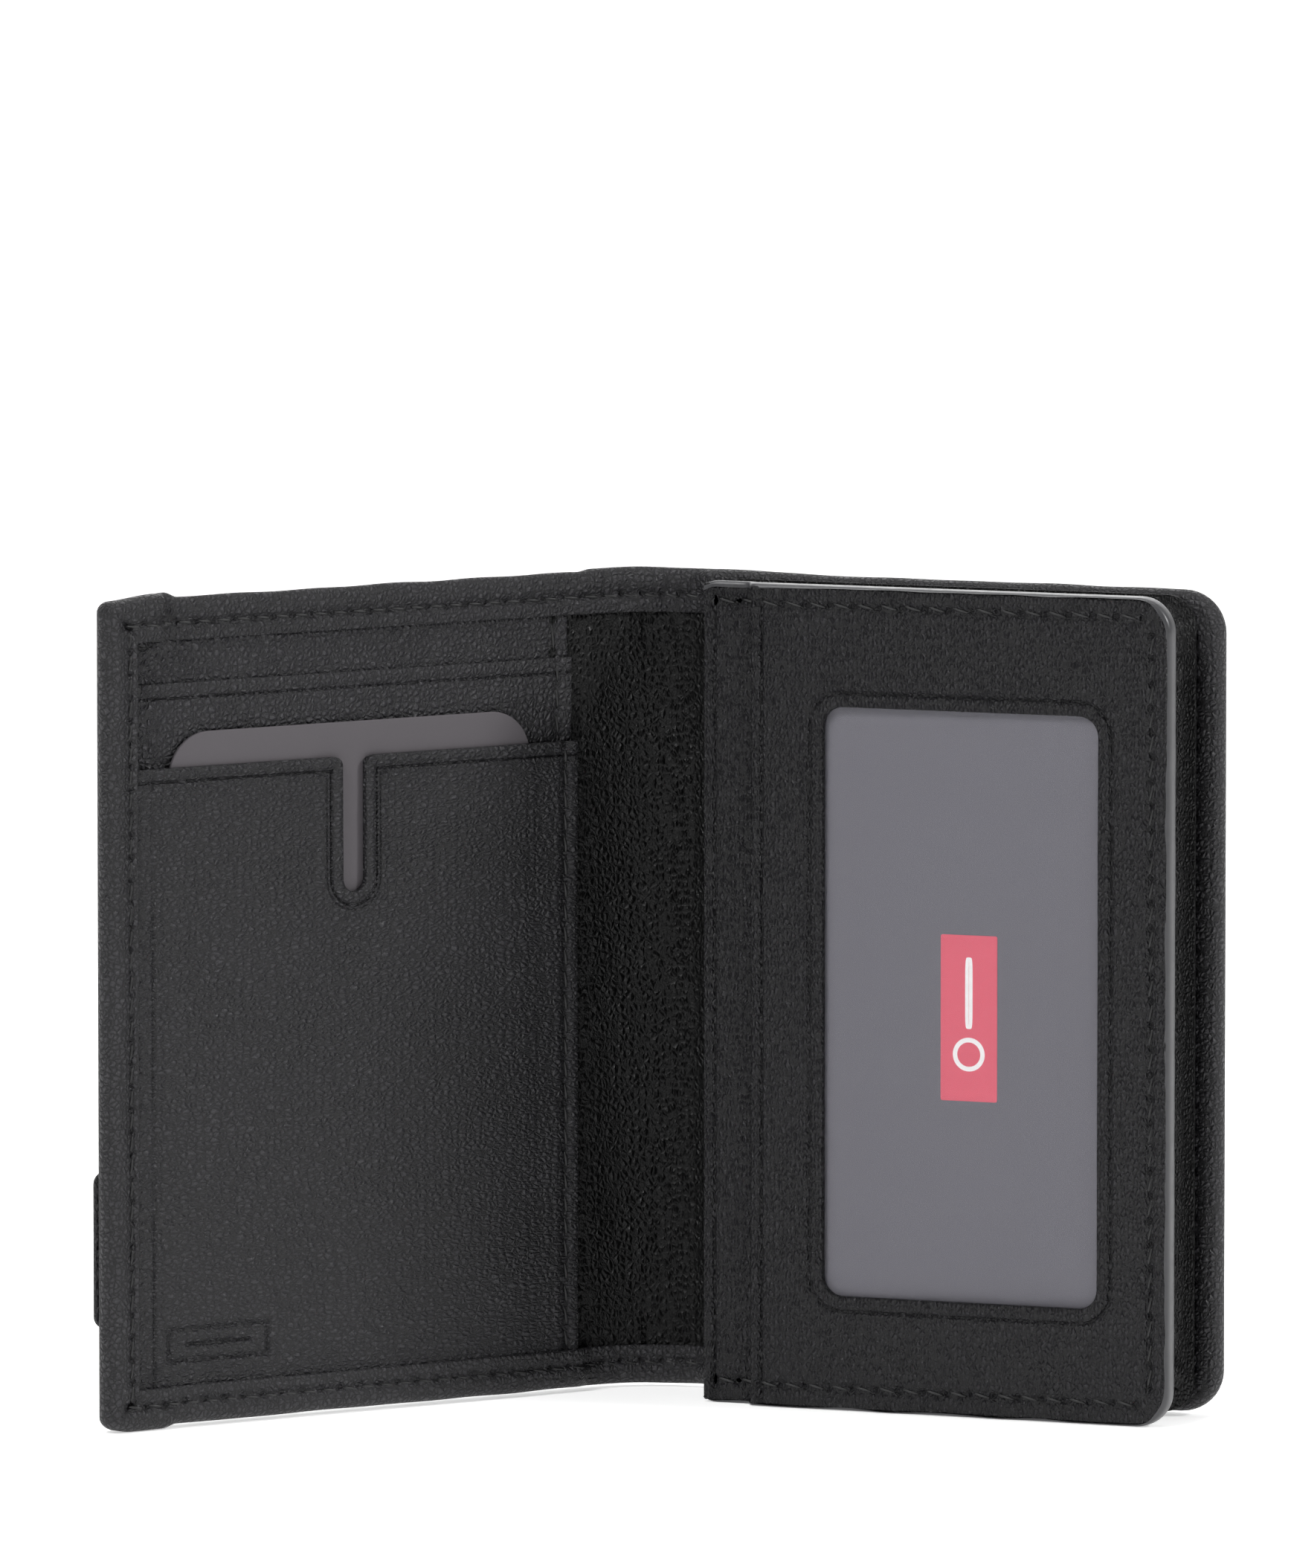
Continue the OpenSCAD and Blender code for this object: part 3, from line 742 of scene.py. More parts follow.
def make_skin(name, half, rows, outer_rows):
    """Stacks the U rings; depth is 0 outside, the thickness inside, with seams sunk and folds raised."""
    FLOOR = 0.9
    qs, zs, ds = [], [], []
    for side_in, bottom_in, top_in, kind, level in skin_rings(half):
        q, z = u_ring(half, side_in, bottom_in, top_in)
        s = to_s(half, q)
        total = thickness(s, z)
        inset = min(side_in, bottom_in)
        if kind in ("edge", "outer"):
            depth = level * total + (1 - smooth(level, 0, 0.3)) * sunk(s, z, outer_rows, 0.12, 0.22)
        else:
            depth = total
        if kind in ("inner", "wall"):
            puff = 0.10 * np.sin(math.pi * np.clip((inset - 1.2) / 1.6, 0, 1))
            depth = depth + puff - sunk(s, z, rows) + spine_puckers(s, z) + 0.035 * ripple(s, z, 3.1, 8)
            for corner_z, way_z in ((HEIGHT, -1), (0, 1)):
                depth = depth - 0.28 * mitre(s, z, to_s(half, half["end"]), corner_z, (-half["way"], way_z))
        if kind == "wall":
            depth = mix(depth, FLOOR, level)
        if kind == "floor":
            depth = np.full_like(z, FLOOR)
        z = z + outline_shift(s, z, inset)
        qs.append(s)
        zs.append(z)
        ds.append(depth)
    s, z, d = np.array(qs), np.array(zs), np.array(ds)
    points = place(s, d, z)
    rings_in, columns = s.shape
    body = grid_faces(rings_in, columns)
    caps = []
    for column in (0, columns - 1):
        outer = np.arange(rings_in // 2) * columns + column
        inner = (rings_in - 1 - np.arange(rings_in // 2)) * columns + column
        strip = np.stack([outer[:-1], outer[1:], inner[1:], inner[:-1]], -1)
        caps.append(strip if column else strip[:, ::-1])
    return new_piece(name, points, [body, *caps], OUTER)


def bend_across(piece, half):
    """Bakes the piece's transform; points 1.8 mm and 2.2 mm either side of the fold are worked out but used
    for nothing.
    """
    fold_s = 0.0 if half["way"] > 0 else -SPINE
    start = place(fold_s + half["way"] * 1.8, FOLD_DEPTH, HEIGHT / 2) * MM
    end = place(fold_s - half["way"] * 2.2, FOLD_DEPTH, HEIGHT / 2) * MM
    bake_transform(piece)
    return piece


for label, half in HALVES.items():
    half["rows"] = hem_rows(half)
    half["outer_rows"] = hem_rows(half, 2.6)
    skin = make_skin(f"{label}_outer_leather", half, half["rows"], half["outer_rows"])
    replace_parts(skin, f"{label}_shell", "spine_shell")
    bend_across(skin, half)

# %% Thread in the hems
def skin_depth(rows):
    """The hem's surface under a thread: the thickness less the groove, without the pits."""
    return lambda s, z: thickness(s, z) - sunk(s, z, rows, 0.26, 0.0)


for label, half in HALVES.items():
    inside = thread_piece(f"{label}_hem_thread", half["rows"], skin_depth(half["rows"]), place)
    outside = thread_piece(f"{label}_outer_thread", half["outer_rows"],
                           lambda s, z: sunk(s, z, half["outer_rows"], 0.12, 0.0), place, outwards=-1.0)
    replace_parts(inside, f"{label}_thread", "spine_thread")
    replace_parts(outside, f"{label}_thread")
    bend_across(inside, half)
    bend_across(outside, half)

# %% [markdown]
# ## Lining, slots and the card pocket
#
# Inside the covers lie flat pieces with round edges. A plain one is a grid whose border rows turn down
# to the piece's underside. The slot's edge is turned and creased two millimetres below the fold, the
# way a hot creasing iron marks it.

# %% Rectangular sheets
def run(start, end, step, edge=0.14, square_start=False, coarse_after=None):
    """Positions from start to end and the drop of each: a quarter round at the ends, then the wall."""
    way = 1.0 if end > start else -1.0
    curve = rounding(edge, 3)
    if square_start:
        position, drop = [start, start], [9.0, 0.0]
    else:
        position = [start] + [start + way * inset for inset, _ in curve[::-1]]
        drop = [9.0] + [fall for _, fall in curve[::-1]]
    fine_end = end if coarse_after is None else coarse_after
    middle = list(np.arange(position[-1] + way * step, fine_end - way * (edge + step / 2), way * step))
    if coarse_after is not None:
        middle += list(np.arange(middle[-1] + way * 1.5, end - way * (edge + 0.5), way * 1.5))
    position = position + middle + [end - way * inset for inset, _ in curve] + [end]
    drop = drop + [0.0] * len(middle) + [fall for _, fall in curve] + [9.0]
    return np.array(position), np.array(drop)


def grid_sheet(name, s_run, z_run, bottom, top, bend_to, material):
    """A sheet over a rectangle: the border rows fall to the underside, which long quads close."""
    s, s_drop = s_run
    z, z_drop = z_run
    grid_s, grid_z = np.meshgrid(s, z, indexing="ij")
    face = top(grid_s, grid_z)
    base = bottom(grid_s, grid_z) if callable(bottom) else np.full_like(face, bottom)
    fall = np.maximum(s_drop[:, None], z_drop[None, :])
    depth = np.maximum(face - fall, base)
    points = bend_to(grid_s, depth, grid_z)
    rows_in, columns = grid_s.shape
    body = grid_faces(rows_in, columns)
    i = np.arange(1, rows_in - 2)
    last = columns - 1
    under = np.stack([i * columns, i * columns + last, (i + 1) * columns + last, (i + 1) * columns], -1)
    first = np.concatenate([np.arange(columns), [2 * columns - 1, columns]])[None]
    last_row = (rows_in - 1) * columns
    last = np.concatenate([last_row + np.arange(columns)[::-1], [last_row - columns, last_row - 1]])[None]
    return new_piece(name, points, [body, under, first, last], material)


FOLD_STEP = 2.0
LAYER_END = FRONT_W - 3.9
STITCH_X = FOLD_STEP + 2.1
SLOT_EDGE = node_box("upper_slot")[1][2]
POCKET_EDGE = node_box("lower_pocket")[1][2]
LAYER_STEPS = {"lining": 0.9, "slot": 0.45, "pocket": 0.0}
lining_row = [row((STITCH_X + 0.9, SLOT_EDGE + 0.4), (STITCH_X + 0.9, HEIGHT - HEM_TOP - 0.3))]
slot_row = [row((STITCH_X + 0.45, POCKET_EDGE + 0.4), (STITCH_X + 0.45, SLOT_EDGE - 0.2))]


def lining_top(x, z):
    """The lining's face: level, sunk along its stitches, slightly uneven."""
    return LINING_FRONT + 0.06 - sunk(x, z, lining_row) + 0.03 * ripple(x, z, 9, 21)


def slot_top(x, z):
    """The slot's face: a soft bead along its edge, above a narrow crease."""
    below = SLOT_EDGE - z
    bead = 0.14 * bell(below - 0.8, 0.8) - 0.34 * bell(below - 1.95, 0.18)
    return LINING_FRONT + 0.42 + bead - sunk(x, z, slot_row) + 0.03 * ripple(x, z, 12, 22)


band_x = run(FOLD_STEP + LAYER_STEPS["lining"], LAYER_END, 0.4)
band_z = run(60, HEIGHT - 4.2, 0.35)
band = grid_sheet("front_lining_band", band_x, band_z, 0.95, lining_top, on_front, SLOT)
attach(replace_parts(band, "front_lining"), "front_cover")
upper_x = run(FOLD_STEP + LAYER_STEPS["slot"], LAYER_END, 0.4)
upper_z = run(SLOT_EDGE, 3.6, 0.1, coarse_after=POCKET_EDGE - 3)
upper = grid_sheet("upper_slot_leather", upper_x, upper_z, 0.96, slot_top, on_front, SLOT)
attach(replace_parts(upper, "upper_slot"), "front_cover")


# %% [markdown]
# ## The lower pocket and its thumb notch
#
# The pocket's edge runs across the cover and down round a narrow notch, and two creases follow it all
# the way. So the rings here are lines parallel to that edge, and below them the sheet fans out to the
# straight bottom. Where the card lies behind, the leather is lifted a little.

# %% The pocket's rings
card_low, card_high = node_box("pocket_card")
CARD_W = 54.0
CARD_X = (FRONT_W - HEM_SIDE + STITCH_X) / 2 - CARD_W / 2
NOTCH_X = CARD_X + CARD_W / 2
NOTCH_HALF, NOTCH_DEPTH, NOTCH_CORNER = 1.7, 17.2, 1.2
NOTCH_END = POCKET_EDGE - NOTCH_DEPTH + NOTCH_HALF
EMBLEM = {"x": FRONT_W - 16.5, "z": 10.6, "half_w": 7.3, "half_h": 2.0, "line": 0.3, "depth": 0.42}


def pocket_contour(inset):
    """The edge moved into the leather by inset: across, round the corner, down and round the notch's end."""
    round_at = max(NOTCH_CORNER, inset)
    radius = max(NOTCH_CORNER - inset, 0.02)
    wall = NOTCH_HALF + inset
    across = np.linspace(FOLD_STEP, NOTCH_X - NOTCH_HALF - round_at, 104)
    corner = np.linspace(math.pi / 2, 0, 8)[1:-1]
    down = np.linspace(POCKET_EDGE - round_at, NOTCH_END, 44)
    under = np.linspace(math.pi, 1.5 * math.pi, 14)[1:]
    x = np.concatenate([across, NOTCH_X - NOTCH_HALF - round_at + radius * np.cos(corner),
                        np.full(44, NOTCH_X - wall), NOTCH_X + wall * np.cos(under)])
    z = np.concatenate([np.full(104, POCKET_EDGE - inset), POCKET_EDGE - round_at + radius * np.sin(corner),
                        down, NOTCH_END + wall * np.sin(under)])
    mirrored = 2 * NOTCH_X - x[-2::-1]
    kept = NOTCH_X + 6
    stretched = kept + (mirrored - NOTCH_X - 6) * (LAYER_END - NOTCH_X - 6) / (NOTCH_X - FOLD_STEP - 6)
    mirrored = np.where(mirrored > kept, stretched, mirrored)
    return np.concatenate([x, mirrored]), np.concatenate([z, z[-2::-1]])


def from_pocket_edge(x, z):
    """Distance from the pocket's edge: the nearer of the straight edge and the notch's outline."""
    beside = np.where(z > NOTCH_END, np.abs(x - NOTCH_X), np.hypot(x - NOTCH_X, z - NOTCH_END)) - NOTCH_HALF
    return np.minimum(POCKET_EDGE - z, beside)


SIDE_LINE = FRONT_W - HEM_SIDE - 2.4


def side_line(x):
    """The pressed line beside the hem, with a soft ridge on its inner side."""
    return 0.24 * bell(x - SIDE_LINE, 0.2) - 0.1 * bell(x - SIDE_LINE + 0.6, 0.5)


pocket_rows = [row((STITCH_X, HEM_BOTTOM + 0.2), (STITCH_X, POCKET_EDGE - 0.3))]


def pocket_top(x, z):
    """The pocket's face: creases along the edge, the card's swelling, a blind frame and the stitches."""
    edge = from_pocket_edge(x, z)
    near_notch = smooth(6 - np.abs(x - NOTCH_X), 0, 1.5)
    creases = 0.34 * bell(edge - 1.7, 0.17) + 0.2 * near_notch * bell(edge - 2.3, 0.13)
    bead = 0.22 * bell(edge - 0.75, 0.75) + 0.3 * near_notch * bell(edge, 2.6)
    card = smooth(x, CARD_X - 1.5, CARD_X + 1.5) * smooth(CARD_X + CARD_W - x, -1.5, 1.5)
    across = np.abs(x - EMBLEM["x"]) - EMBLEM["half_w"]
    upright = np.abs(z - EMBLEM["z"]) - EMBLEM["half_h"]
    frame_line = EMBLEM["depth"] * bell(np.maximum(across, upright), EMBLEM["line"])
    inner_line = EMBLEM["depth"] * bell(z - EMBLEM["z"], 0.3) * smooth(-across, 2.2, 2.8)
    uneven = 0.05 * ripple(x, z, 26, 31) + 0.02 * ripple(x, z, 6, 32)
    pressed = creases + frame_line + inner_line + side_line(x) + sunk(x, z, pocket_rows)
    return POCKET_TOP + bead + 0.1 * card + uneven - pressed


def make_pocket():
    """Rings from the underside over the round edge into the leather, then a fan to the bottom line."""
    UNDER = 2.78
    levels = [(0.0, UNDER, True)] + [(inset, drop, False) for inset, drop in rounding(0.16, 3)[::-1]]
    levels += [(inset, 0.0, False) for inset in np.arange(0.3, 1.4, 0.15)]
    levels += [(inset, 0.0, False) for inset in np.arange(1.42, 2.6, 0.07)]
    levels += [(inset, 0.0, False) for inset in (2.7, 2.85, 3.0)]
    xs, zs, ds = [], [], []
    for inset, value, is_bottom in levels:
        x, z = pocket_contour(inset)
        xs.append(x)
        zs.append(z)
        ds.append(np.full_like(x, UNDER) if is_bottom else pocket_top(x, z) - value)
    x0, z0 = pocket_contour(3.0)
    index = np.arange(len(x0))
    marks = np.array([0, 103, 152, 166, 180, 229, 332])
    places = np.array([FOLD_STEP, NOTCH_X - 9, NOTCH_X - 2.4, NOTCH_X, NOTCH_X + 2.4, NOTCH_X + 9, LAYER_END])
    foot_x = np.interp(index, marks, places)
    foot_z = np.full_like(foot_x, 3.4)
    shares = np.concatenate([np.linspace(0, 0.84, 90)[1:], np.linspace(0.84, 0.97, 44)[1:], [1.0]])
    for share in shares:
        x, z = mix(x0, foot_x, share), mix(z0, foot_z, share)
        xs.append(x)
        zs.append(z)
        ds.append(pocket_top(x, z))
    xs.append(foot_x)
    zs.append(foot_z)
    ds.append(np.full_like(foot_x, UNDER))
    x, z, d = (np.array(values) for values in (xs, zs, ds))
    for columns_in, base in (((0, 1, 2), 1.0), ((-1, -2, -3), UNDER)):
        for column, fall in zip(columns_in, (9.0, 0.12, 0.03)):
            d[:, column] = np.maximum(d[:, column] - fall, base)
    points = on_front(x, d, z)
    rows_in, columns = x.shape
    body = grid_faces(rows_in, columns)
    j = np.arange(columns - 1)
    under = np.stack([j, j + 1, (rows_in - 1) * columns + j + 1, (rows_in - 1) * columns + j], -1)
    left = np.arange(rows_in)[None] * columns
    right = left[:, ::-1] + columns - 1
    faces = [body, under[:, ::-1], left, right]
    piece = new_piece("lower_pocket_leather", points, faces, POCKET)
    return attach(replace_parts(piece, "lower_pocket"), "front_cover")


make_pocket()

# %% Thread beside the spine
def side_thread(name, rows, level):
    """Thread in rows through a front layer whose face lies at that depth."""
    thread = thread_piece(name, rows, lambda x, z: level - sunk(x, z, rows, 0.2, 0), on_front)
    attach(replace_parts(thread, "pocket_thread"), "front_cover")


side_thread("pocket_side_thread", pocket_rows, POCKET_TOP + 0.05)
side_thread("slot_side_thread", slot_row, LINING_FRONT + 0.42)
side_thread("lining_side_thread", lining_row, LINING_FRONT + 0.06)

# %% [markdown]
# ## Spine and back lining
#
# A coarser lining leather crosses the spine and runs on into the back pocket. Like the outer leather it
# is two pieces that meet in the middle of the spine with square ends, so that each bends at one fold.

# %% Lining across both folds
def lining_level(s, z):
    """Depth of the lining's face: thin under the front's layers, level on the spine, deeper at the back."""
    level = mix(LINING_SPINE, LINING_BACK, smooth(s, -0.5, 2.6))
    level = mix(level, 1.35, smooth(-s - SPINE, -1.2, 2.2))
    wave = np.sin(s * 3.1 + 0.8 * np.sin(s * 1.7))
    gathers = (1 - smooth(z, 4.5, 9)) * bell(s + SPINE / 2, 7) * 0.08 * wave
    return level + gathers + 0.10 * ripple(s, z, 17, 41) + 0.04 * ripple(s, z, 5, 42)


lining_reach = {"front": FOLD_STEP + 3.2, "back": BACK_W - 3.9}
for label, half in HALVES.items():
    square = run(0.0, SPINE / 2 + lining_reach[label], 0.4, square_start=True, coarse_after=24.0)
    cross = (to_s(half, square[0]), square[1])
    piece = grid_sheet(f"{label}_spine_lining", cross, run(4.1, HEIGHT - 4.5, 0.4), 0.93, lining_level, place,
                       SHADED_LINING)
    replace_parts(piece, "spine_lining", "back_lining")
    bend_across(piece, half)

# %% [markdown]
# ## The window panel
#
# The panel is four layers glued and sewn together, with paint along the three cut edges: a backing, a
# card layer whose folded edge shows on the left, a clear film with the insert behind it, and the
# window's leather frame. The frame is a stack of closed rings that starts parallel to the outer edge
# and ends parallel to the opening.

# %% Places on the panel
def panel_box(node_name):
    """A panel node's low and high corner as distance from the back fold, height, and depth range."""
    low, high = node_box(node_name)
    depths = back_fold[1] + FOLD_DEPTH - np.array([high[1], low[1]])
    return (low[0] - back_fold[0], low[2]), (high[0] - back_fold[0], high[2]), depths


frame_low, frame_high, frame_depth = panel_box("window_leather")
film_low, film_high, film_depth = panel_box("window_film")
layer_low, layer_high, layer_depth = panel_box("card_layer")
rear_low, rear_high, rear_depth = panel_box("panel_backing")
paint_low, paint_high, _ = panel_box("edge_paint")
hole_low = (film_low[0] + 2, film_low[1] + 2)
hole_high = (film_high[0] - 2, film_high[1] - 2)
HOLE_R, PANEL_R, BEAD = 2.6, 4.2, 1.5
FACE = frame_depth[1]
panel_rows = [
    row((layer_low[0] + 1.5, 102.5), (64.8, 102.5), PANEL_PITCH),
    row((paint_high[0] - 2.6, 100.4), (paint_high[0] - 2.6, 4.8), PANEL_PITCH),
    row((layer_low[0] + 1.5, 2.9), (64.6, 2.9), PANEL_PITCH),
]


def from_opening(x, z):
    """Distance outside the window's opening, which is a rectangle with round corners."""
    half_w, half_h = (hole_high[0] - hole_low[0]) / 2 - HOLE_R, (hole_high[1] - hole_low[1]) / 2 - HOLE_R
    dx = np.abs(x - (hole_low[0] + hole_high[0]) / 2) - half_w
    dz = np.abs(z - (hole_low[1] + hole_high[1]) / 2) - half_h
    return np.hypot(np.maximum(dx, 0), np.maximum(dz, 0)) + np.minimum(np.maximum(dx, dz), 0) - HOLE_R


def panel_relief(x, z):
    """Lift of the frame's face: the pressed line round the opening, the folded bead, and the stitches."""
    out = from_opening(x, z)
    pressed = 0.3 * bell(out - 1.85, 0.2) - 0.12 * bell(out - 0.95, 0.6)
    from_left = x - frame_low[0]
    bead = 0.32 * bell(from_left - BEAD, 0.2) - 0.14 * bell(from_left - 0.8, 0.55)
    uneven = 0.05 * ripple(x, z, 19, 51) + 0.02 * ripple(x, z, 5, 52)
    return uneven - pressed - bead - sunk(x, z, panel_rows, 0.22, 0.5)


# %% The window's leather frame
def make_window_frame():
    """Rings up the outer edge, across, down into the opening and back; the left side is left open."""
    UNDER = film_depth[1] + 0.02
    counts = {"long_points": 270, "short_points": 150, "corner_points": 8}
    corners = [PANEL_R, PANEL_R, 0.3, 0.3]

    def outer(inset):
        return ring(frame_low, frame_high, corners, inset, **counts)

    def inner(out):
        return ring(hole_low, hole_high, [HOLE_R] * 4, -out, **counts)

    rings = [(outer(0.0), frame_depth[0])]
    rings += [(outer(inset), FACE - drop) for inset, drop in rounding(0.3)[::-1]]
    rings += [(outer(inset), FACE) for inset in np.arange(0.45, 4.4, 0.15)]
    rings += [(mix(outer(4.5), inner(3.3), share), FACE) for share in np.linspace(0, 1, 13)]
    rings += [(inner(out), FACE) for out in np.arange(3.15, 0.3, -0.15)]
    rings += [(inner(inset), FACE - drop) for inset, drop in rounding(0.22)]
    rings += [(inner(0.0), film_depth[1] - 0.06), (outer(1.7), UNDER), (outer(1.6), frame_depth[0])]
    path = np.array([points for points, _ in rings])
    level = np.array([depth for _, depth in rings])[:, None]
    x, z = path[..., 0], path[..., 1]
    depth = level + panel_relief(x, z) * smooth(level, FACE - 0.45, FACE - 0.1)
    slot_mouth = 1 - smooth(x, frame_low[0] + 2.2, frame_low[0] + 3.5)
    depth = np.maximum(depth, np.where(slot_mouth > 0, mix(frame_depth[0], UNDER, slot_mouth), 0))
    faces = grid_faces(*x.shape, wrap_rows=True, wrap_columns=True)
    return new_piece("window_frame_leather", on_back(x, depth, z), [faces], SHADED_PANEL)


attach(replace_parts(make_window_frame(), "window_leather"), "window_panel")


# %% Card layer and backing
def layer_relief(x, z):
    """The card layer's folded bead on the left and the stitches through it."""
    from_left = x - layer_low[0]
    bead = 0.3 * bell(from_left - BEAD, 0.2) - 0.12 * bell(from_left - 0.8, 0.5)
    return 0.02 * ripple(x, z, 13, 61) - 0.13 - bead - sunk(x, z, panel_rows, 0.2, 0.4)


fine_insets = tuple(np.arange(0.3, 3.7, 0.15))
leaf_corners = [PANEL_R, PANEL_R, 0.3, 0.3]
layer = slab("card_layer_leather", layer_low, layer_high, leaf_corners, *layer_depth, on_back, SHADED_PANEL,
             "panel_leather", insets=fine_insets, relief=layer_relief)
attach(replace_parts(layer, "card_layer"), "window_panel")
rear = slab("panel_back_leather", rear_low, rear_high, leaf_corners, rear_depth[1], rear_depth[0], on_back,
            SHADED_PANEL, "panel_leather", insets=(0.5, 1.0, 2.0, 3.0),
            relief=lambda x, z: 0.03 * ripple(x, z, 15, 62))
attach(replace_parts(rear, "panel_backing"), "window_panel")


# %% Paint on the cut edges
def make_edge_paint():
    """A thin D section swept along top, right side and bottom; the paint laps wider at the top left."""
    outline = ring(paint_low, paint_high, [4.5, 4.5, 0.03, 0.03], 0.0, 240, 130, 16)
    inner = ring(paint_low, paint_high, [4.5, 4.5, 0.03, 0.03], 1.0, 240, 130, 16)
    start = int(np.argmin(np.hypot(outline[:, 0] - paint_low[0], outline[:, 1] - paint_low[1])))
    outline, inner = np.roll(outline, -start - 1, axis=0), np.roll(inner, -start - 1, axis=0)
    stop = int(np.argmin(np.hypot(outline[:, 0] - paint_low[0], outline[:, 1] - paint_high[1]))) + 1
    outline, inner = outline[:stop], inner[:stop]
    inner[:, 0] = np.where(outline[:, 0] < 60, outline[:, 0], inner[:, 0])
    x, z = outline[:, :1], outline[:, 1:]
    lap = 0.28 + 0.5 * (1 - smooth(x, 6.5, 26)) * (z > 60) + 0.3 * smooth(x, 66, 68)
    lap = lap + 0.08 * ripple(x, z, 8, 71)
    front = mix(layer_depth[1] + 0.04, FACE + 0.03, smooth(x, frame_low[0] - 0.9, frame_low[0] + 0.1))
    tail = 0.12 + 0.88 * np.sqrt(smooth(x, paint_low[0] - 0.3, paint_low[0] + 1.8))
    turn = np.linspace(0, math.pi, 15)[None, :]
    half = (front - rear_depth[0] + 0.03) / 2
    depth = rear_depth[0] - 0.03 + half + half * np.sign(np.cos(turn)) * np.abs(np.cos(turn)) ** 0.75
    inset = lap * (1 - np.sin(turn) ** 0.7) + 0.85 * (1 - tail)
    points = outline[:, None, :] + (inner - outline)[:, None, :] * inset[..., None]
    points[..., 0] = np.maximum(points[..., 0], paint_low[0])
    count, columns = depth.shape
    faces = grid_faces(count, columns, wrap_columns=True)
    ends = [np.arange(columns)[None], (np.arange(columns)[::-1] + (count - 1) * columns)[None]]
    placed = on_back(points[..., 0], depth, points[..., 1])
    return new_piece("painted_edges", placed, [faces, *ends], PAINT)


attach(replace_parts(make_edge_paint(), "edge_paint"), "window_panel")

# %% Film, insert and label
film_centre = (np.array(film_low) + np.array(film_high)) / 2
film_half = (np.array(film_high) - np.array(film_low)) / 2


def film_bulge(x, z):
    """The film stands a little proud in its middle and ripples very slightly."""
    u, w = (x - film_centre[0]) / film_half[0], (z - film_centre[1]) / film_half[1]
    return 0.12 * (1 - u * u) * (1 - w * w) + 0.012 * ripple(x, z, 21, 81)


film = slab("clear_window", film_low, film_high, [3.0] * 4, *film_depth, on_back, FILM, "clear_film",
            insets=tuple(np.arange(1.0, 20, 1.2)), relief=film_bulge, long_points=90, short_points=50)
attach(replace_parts(film, "window_film"), "window_panel")
insert_low, insert_high, insert_depth = panel_box("id_insert")
insert = slab("grey_insert", insert_low, insert_high, [3.2] * 4, *insert_depth, on_back, INSERT,
              "insert_stock", insets=tuple(np.arange(1.0, 26, 3.0)),
              relief=lambda x, z: 0.02 * ripple(x, z, 30, 82), long_points=60, short_points=36)
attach(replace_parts(insert, "id_insert"), "id_card")
label_low, label_high, label_depth = panel_box("insert_label")
label_piece = slab("red_label", label_low, label_high, [0.25] * 4, label_depth[0] - 0.03, label_depth[1],
                   on_back, LABEL, "label", edge=0.03, long_points=30, short_points=12)
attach(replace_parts(label_piece, "insert_label"), "id_card")

# %% A plain printed mark: a bar above a ring
label_middle = (np.array(label_low) + np.array(label_high)) / 2
turn = np.linspace(0, 2 * math.pi, 49)[:-1]


def printed_loop(name, inner_xz, outer_xz):
    """A flat closed band between two outlines, as thick as a layer of ink."""
    low_depth, high_depth = label_depth[1] - 0.01, label_depth[1] + 0.012
    path = np.array([inner_xz, outer_xz, outer_xz, inner_xz])
    depth = np.array([low_depth, low_depth, high_depth, high_depth])[:, None] + np.zeros(path.shape[:2])
    faces = grid_faces(4, path.shape[1], wrap_rows=True, wrap_columns=True)
    piece = new_piece(name, on_back(path[..., 0], depth, path[..., 1]), [faces], MARK)
    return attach(piece, "id_card")


circle = np.stack([np.cos(turn), np.sin(turn)], -1)
ring_centre = label_middle + (0, -4.6)
bar = np.sign(circle) * np.abs(circle) ** 0.35
bar_centre = label_middle + (0, 3.2)
printed_loop("mark_ring", ring_centre + circle * 1.55, ring_centre + circle * 2.15)
printed_loop("mark_bar", bar_centre + bar * (0.02, 4.0), bar_centre + bar * (0.5, 4.55))

# %% Stitches of the panel
def panel_face(x, z):
    """The surface the panel's thread lies on: the frame, or the card layer left of it."""
    face = mix(layer_depth[1], FACE, smooth(x, frame_low[0] - 0.2, frame_low[0] + 0.2))
    return face - sunk(x, z, panel_rows, 0.22, 0.0)


sewn = thread_piece("panel_stitches", panel_rows, panel_face, on_back, lean=0.2)
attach(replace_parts(sewn, "panel_thread"), "window_panel")

# %% The card in the pocket
card = slab("plain_card", (CARD_X, card_low[2]), (CARD_X + CARD_W, card_high[2]), [5.8] * 4, 2.22, 2.72,
            on_front, CARD, "card_stock", edge=0.13, long_points=60, short_points=36, corner_points=16)
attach(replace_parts(card, "pocket_card"), "front_card")
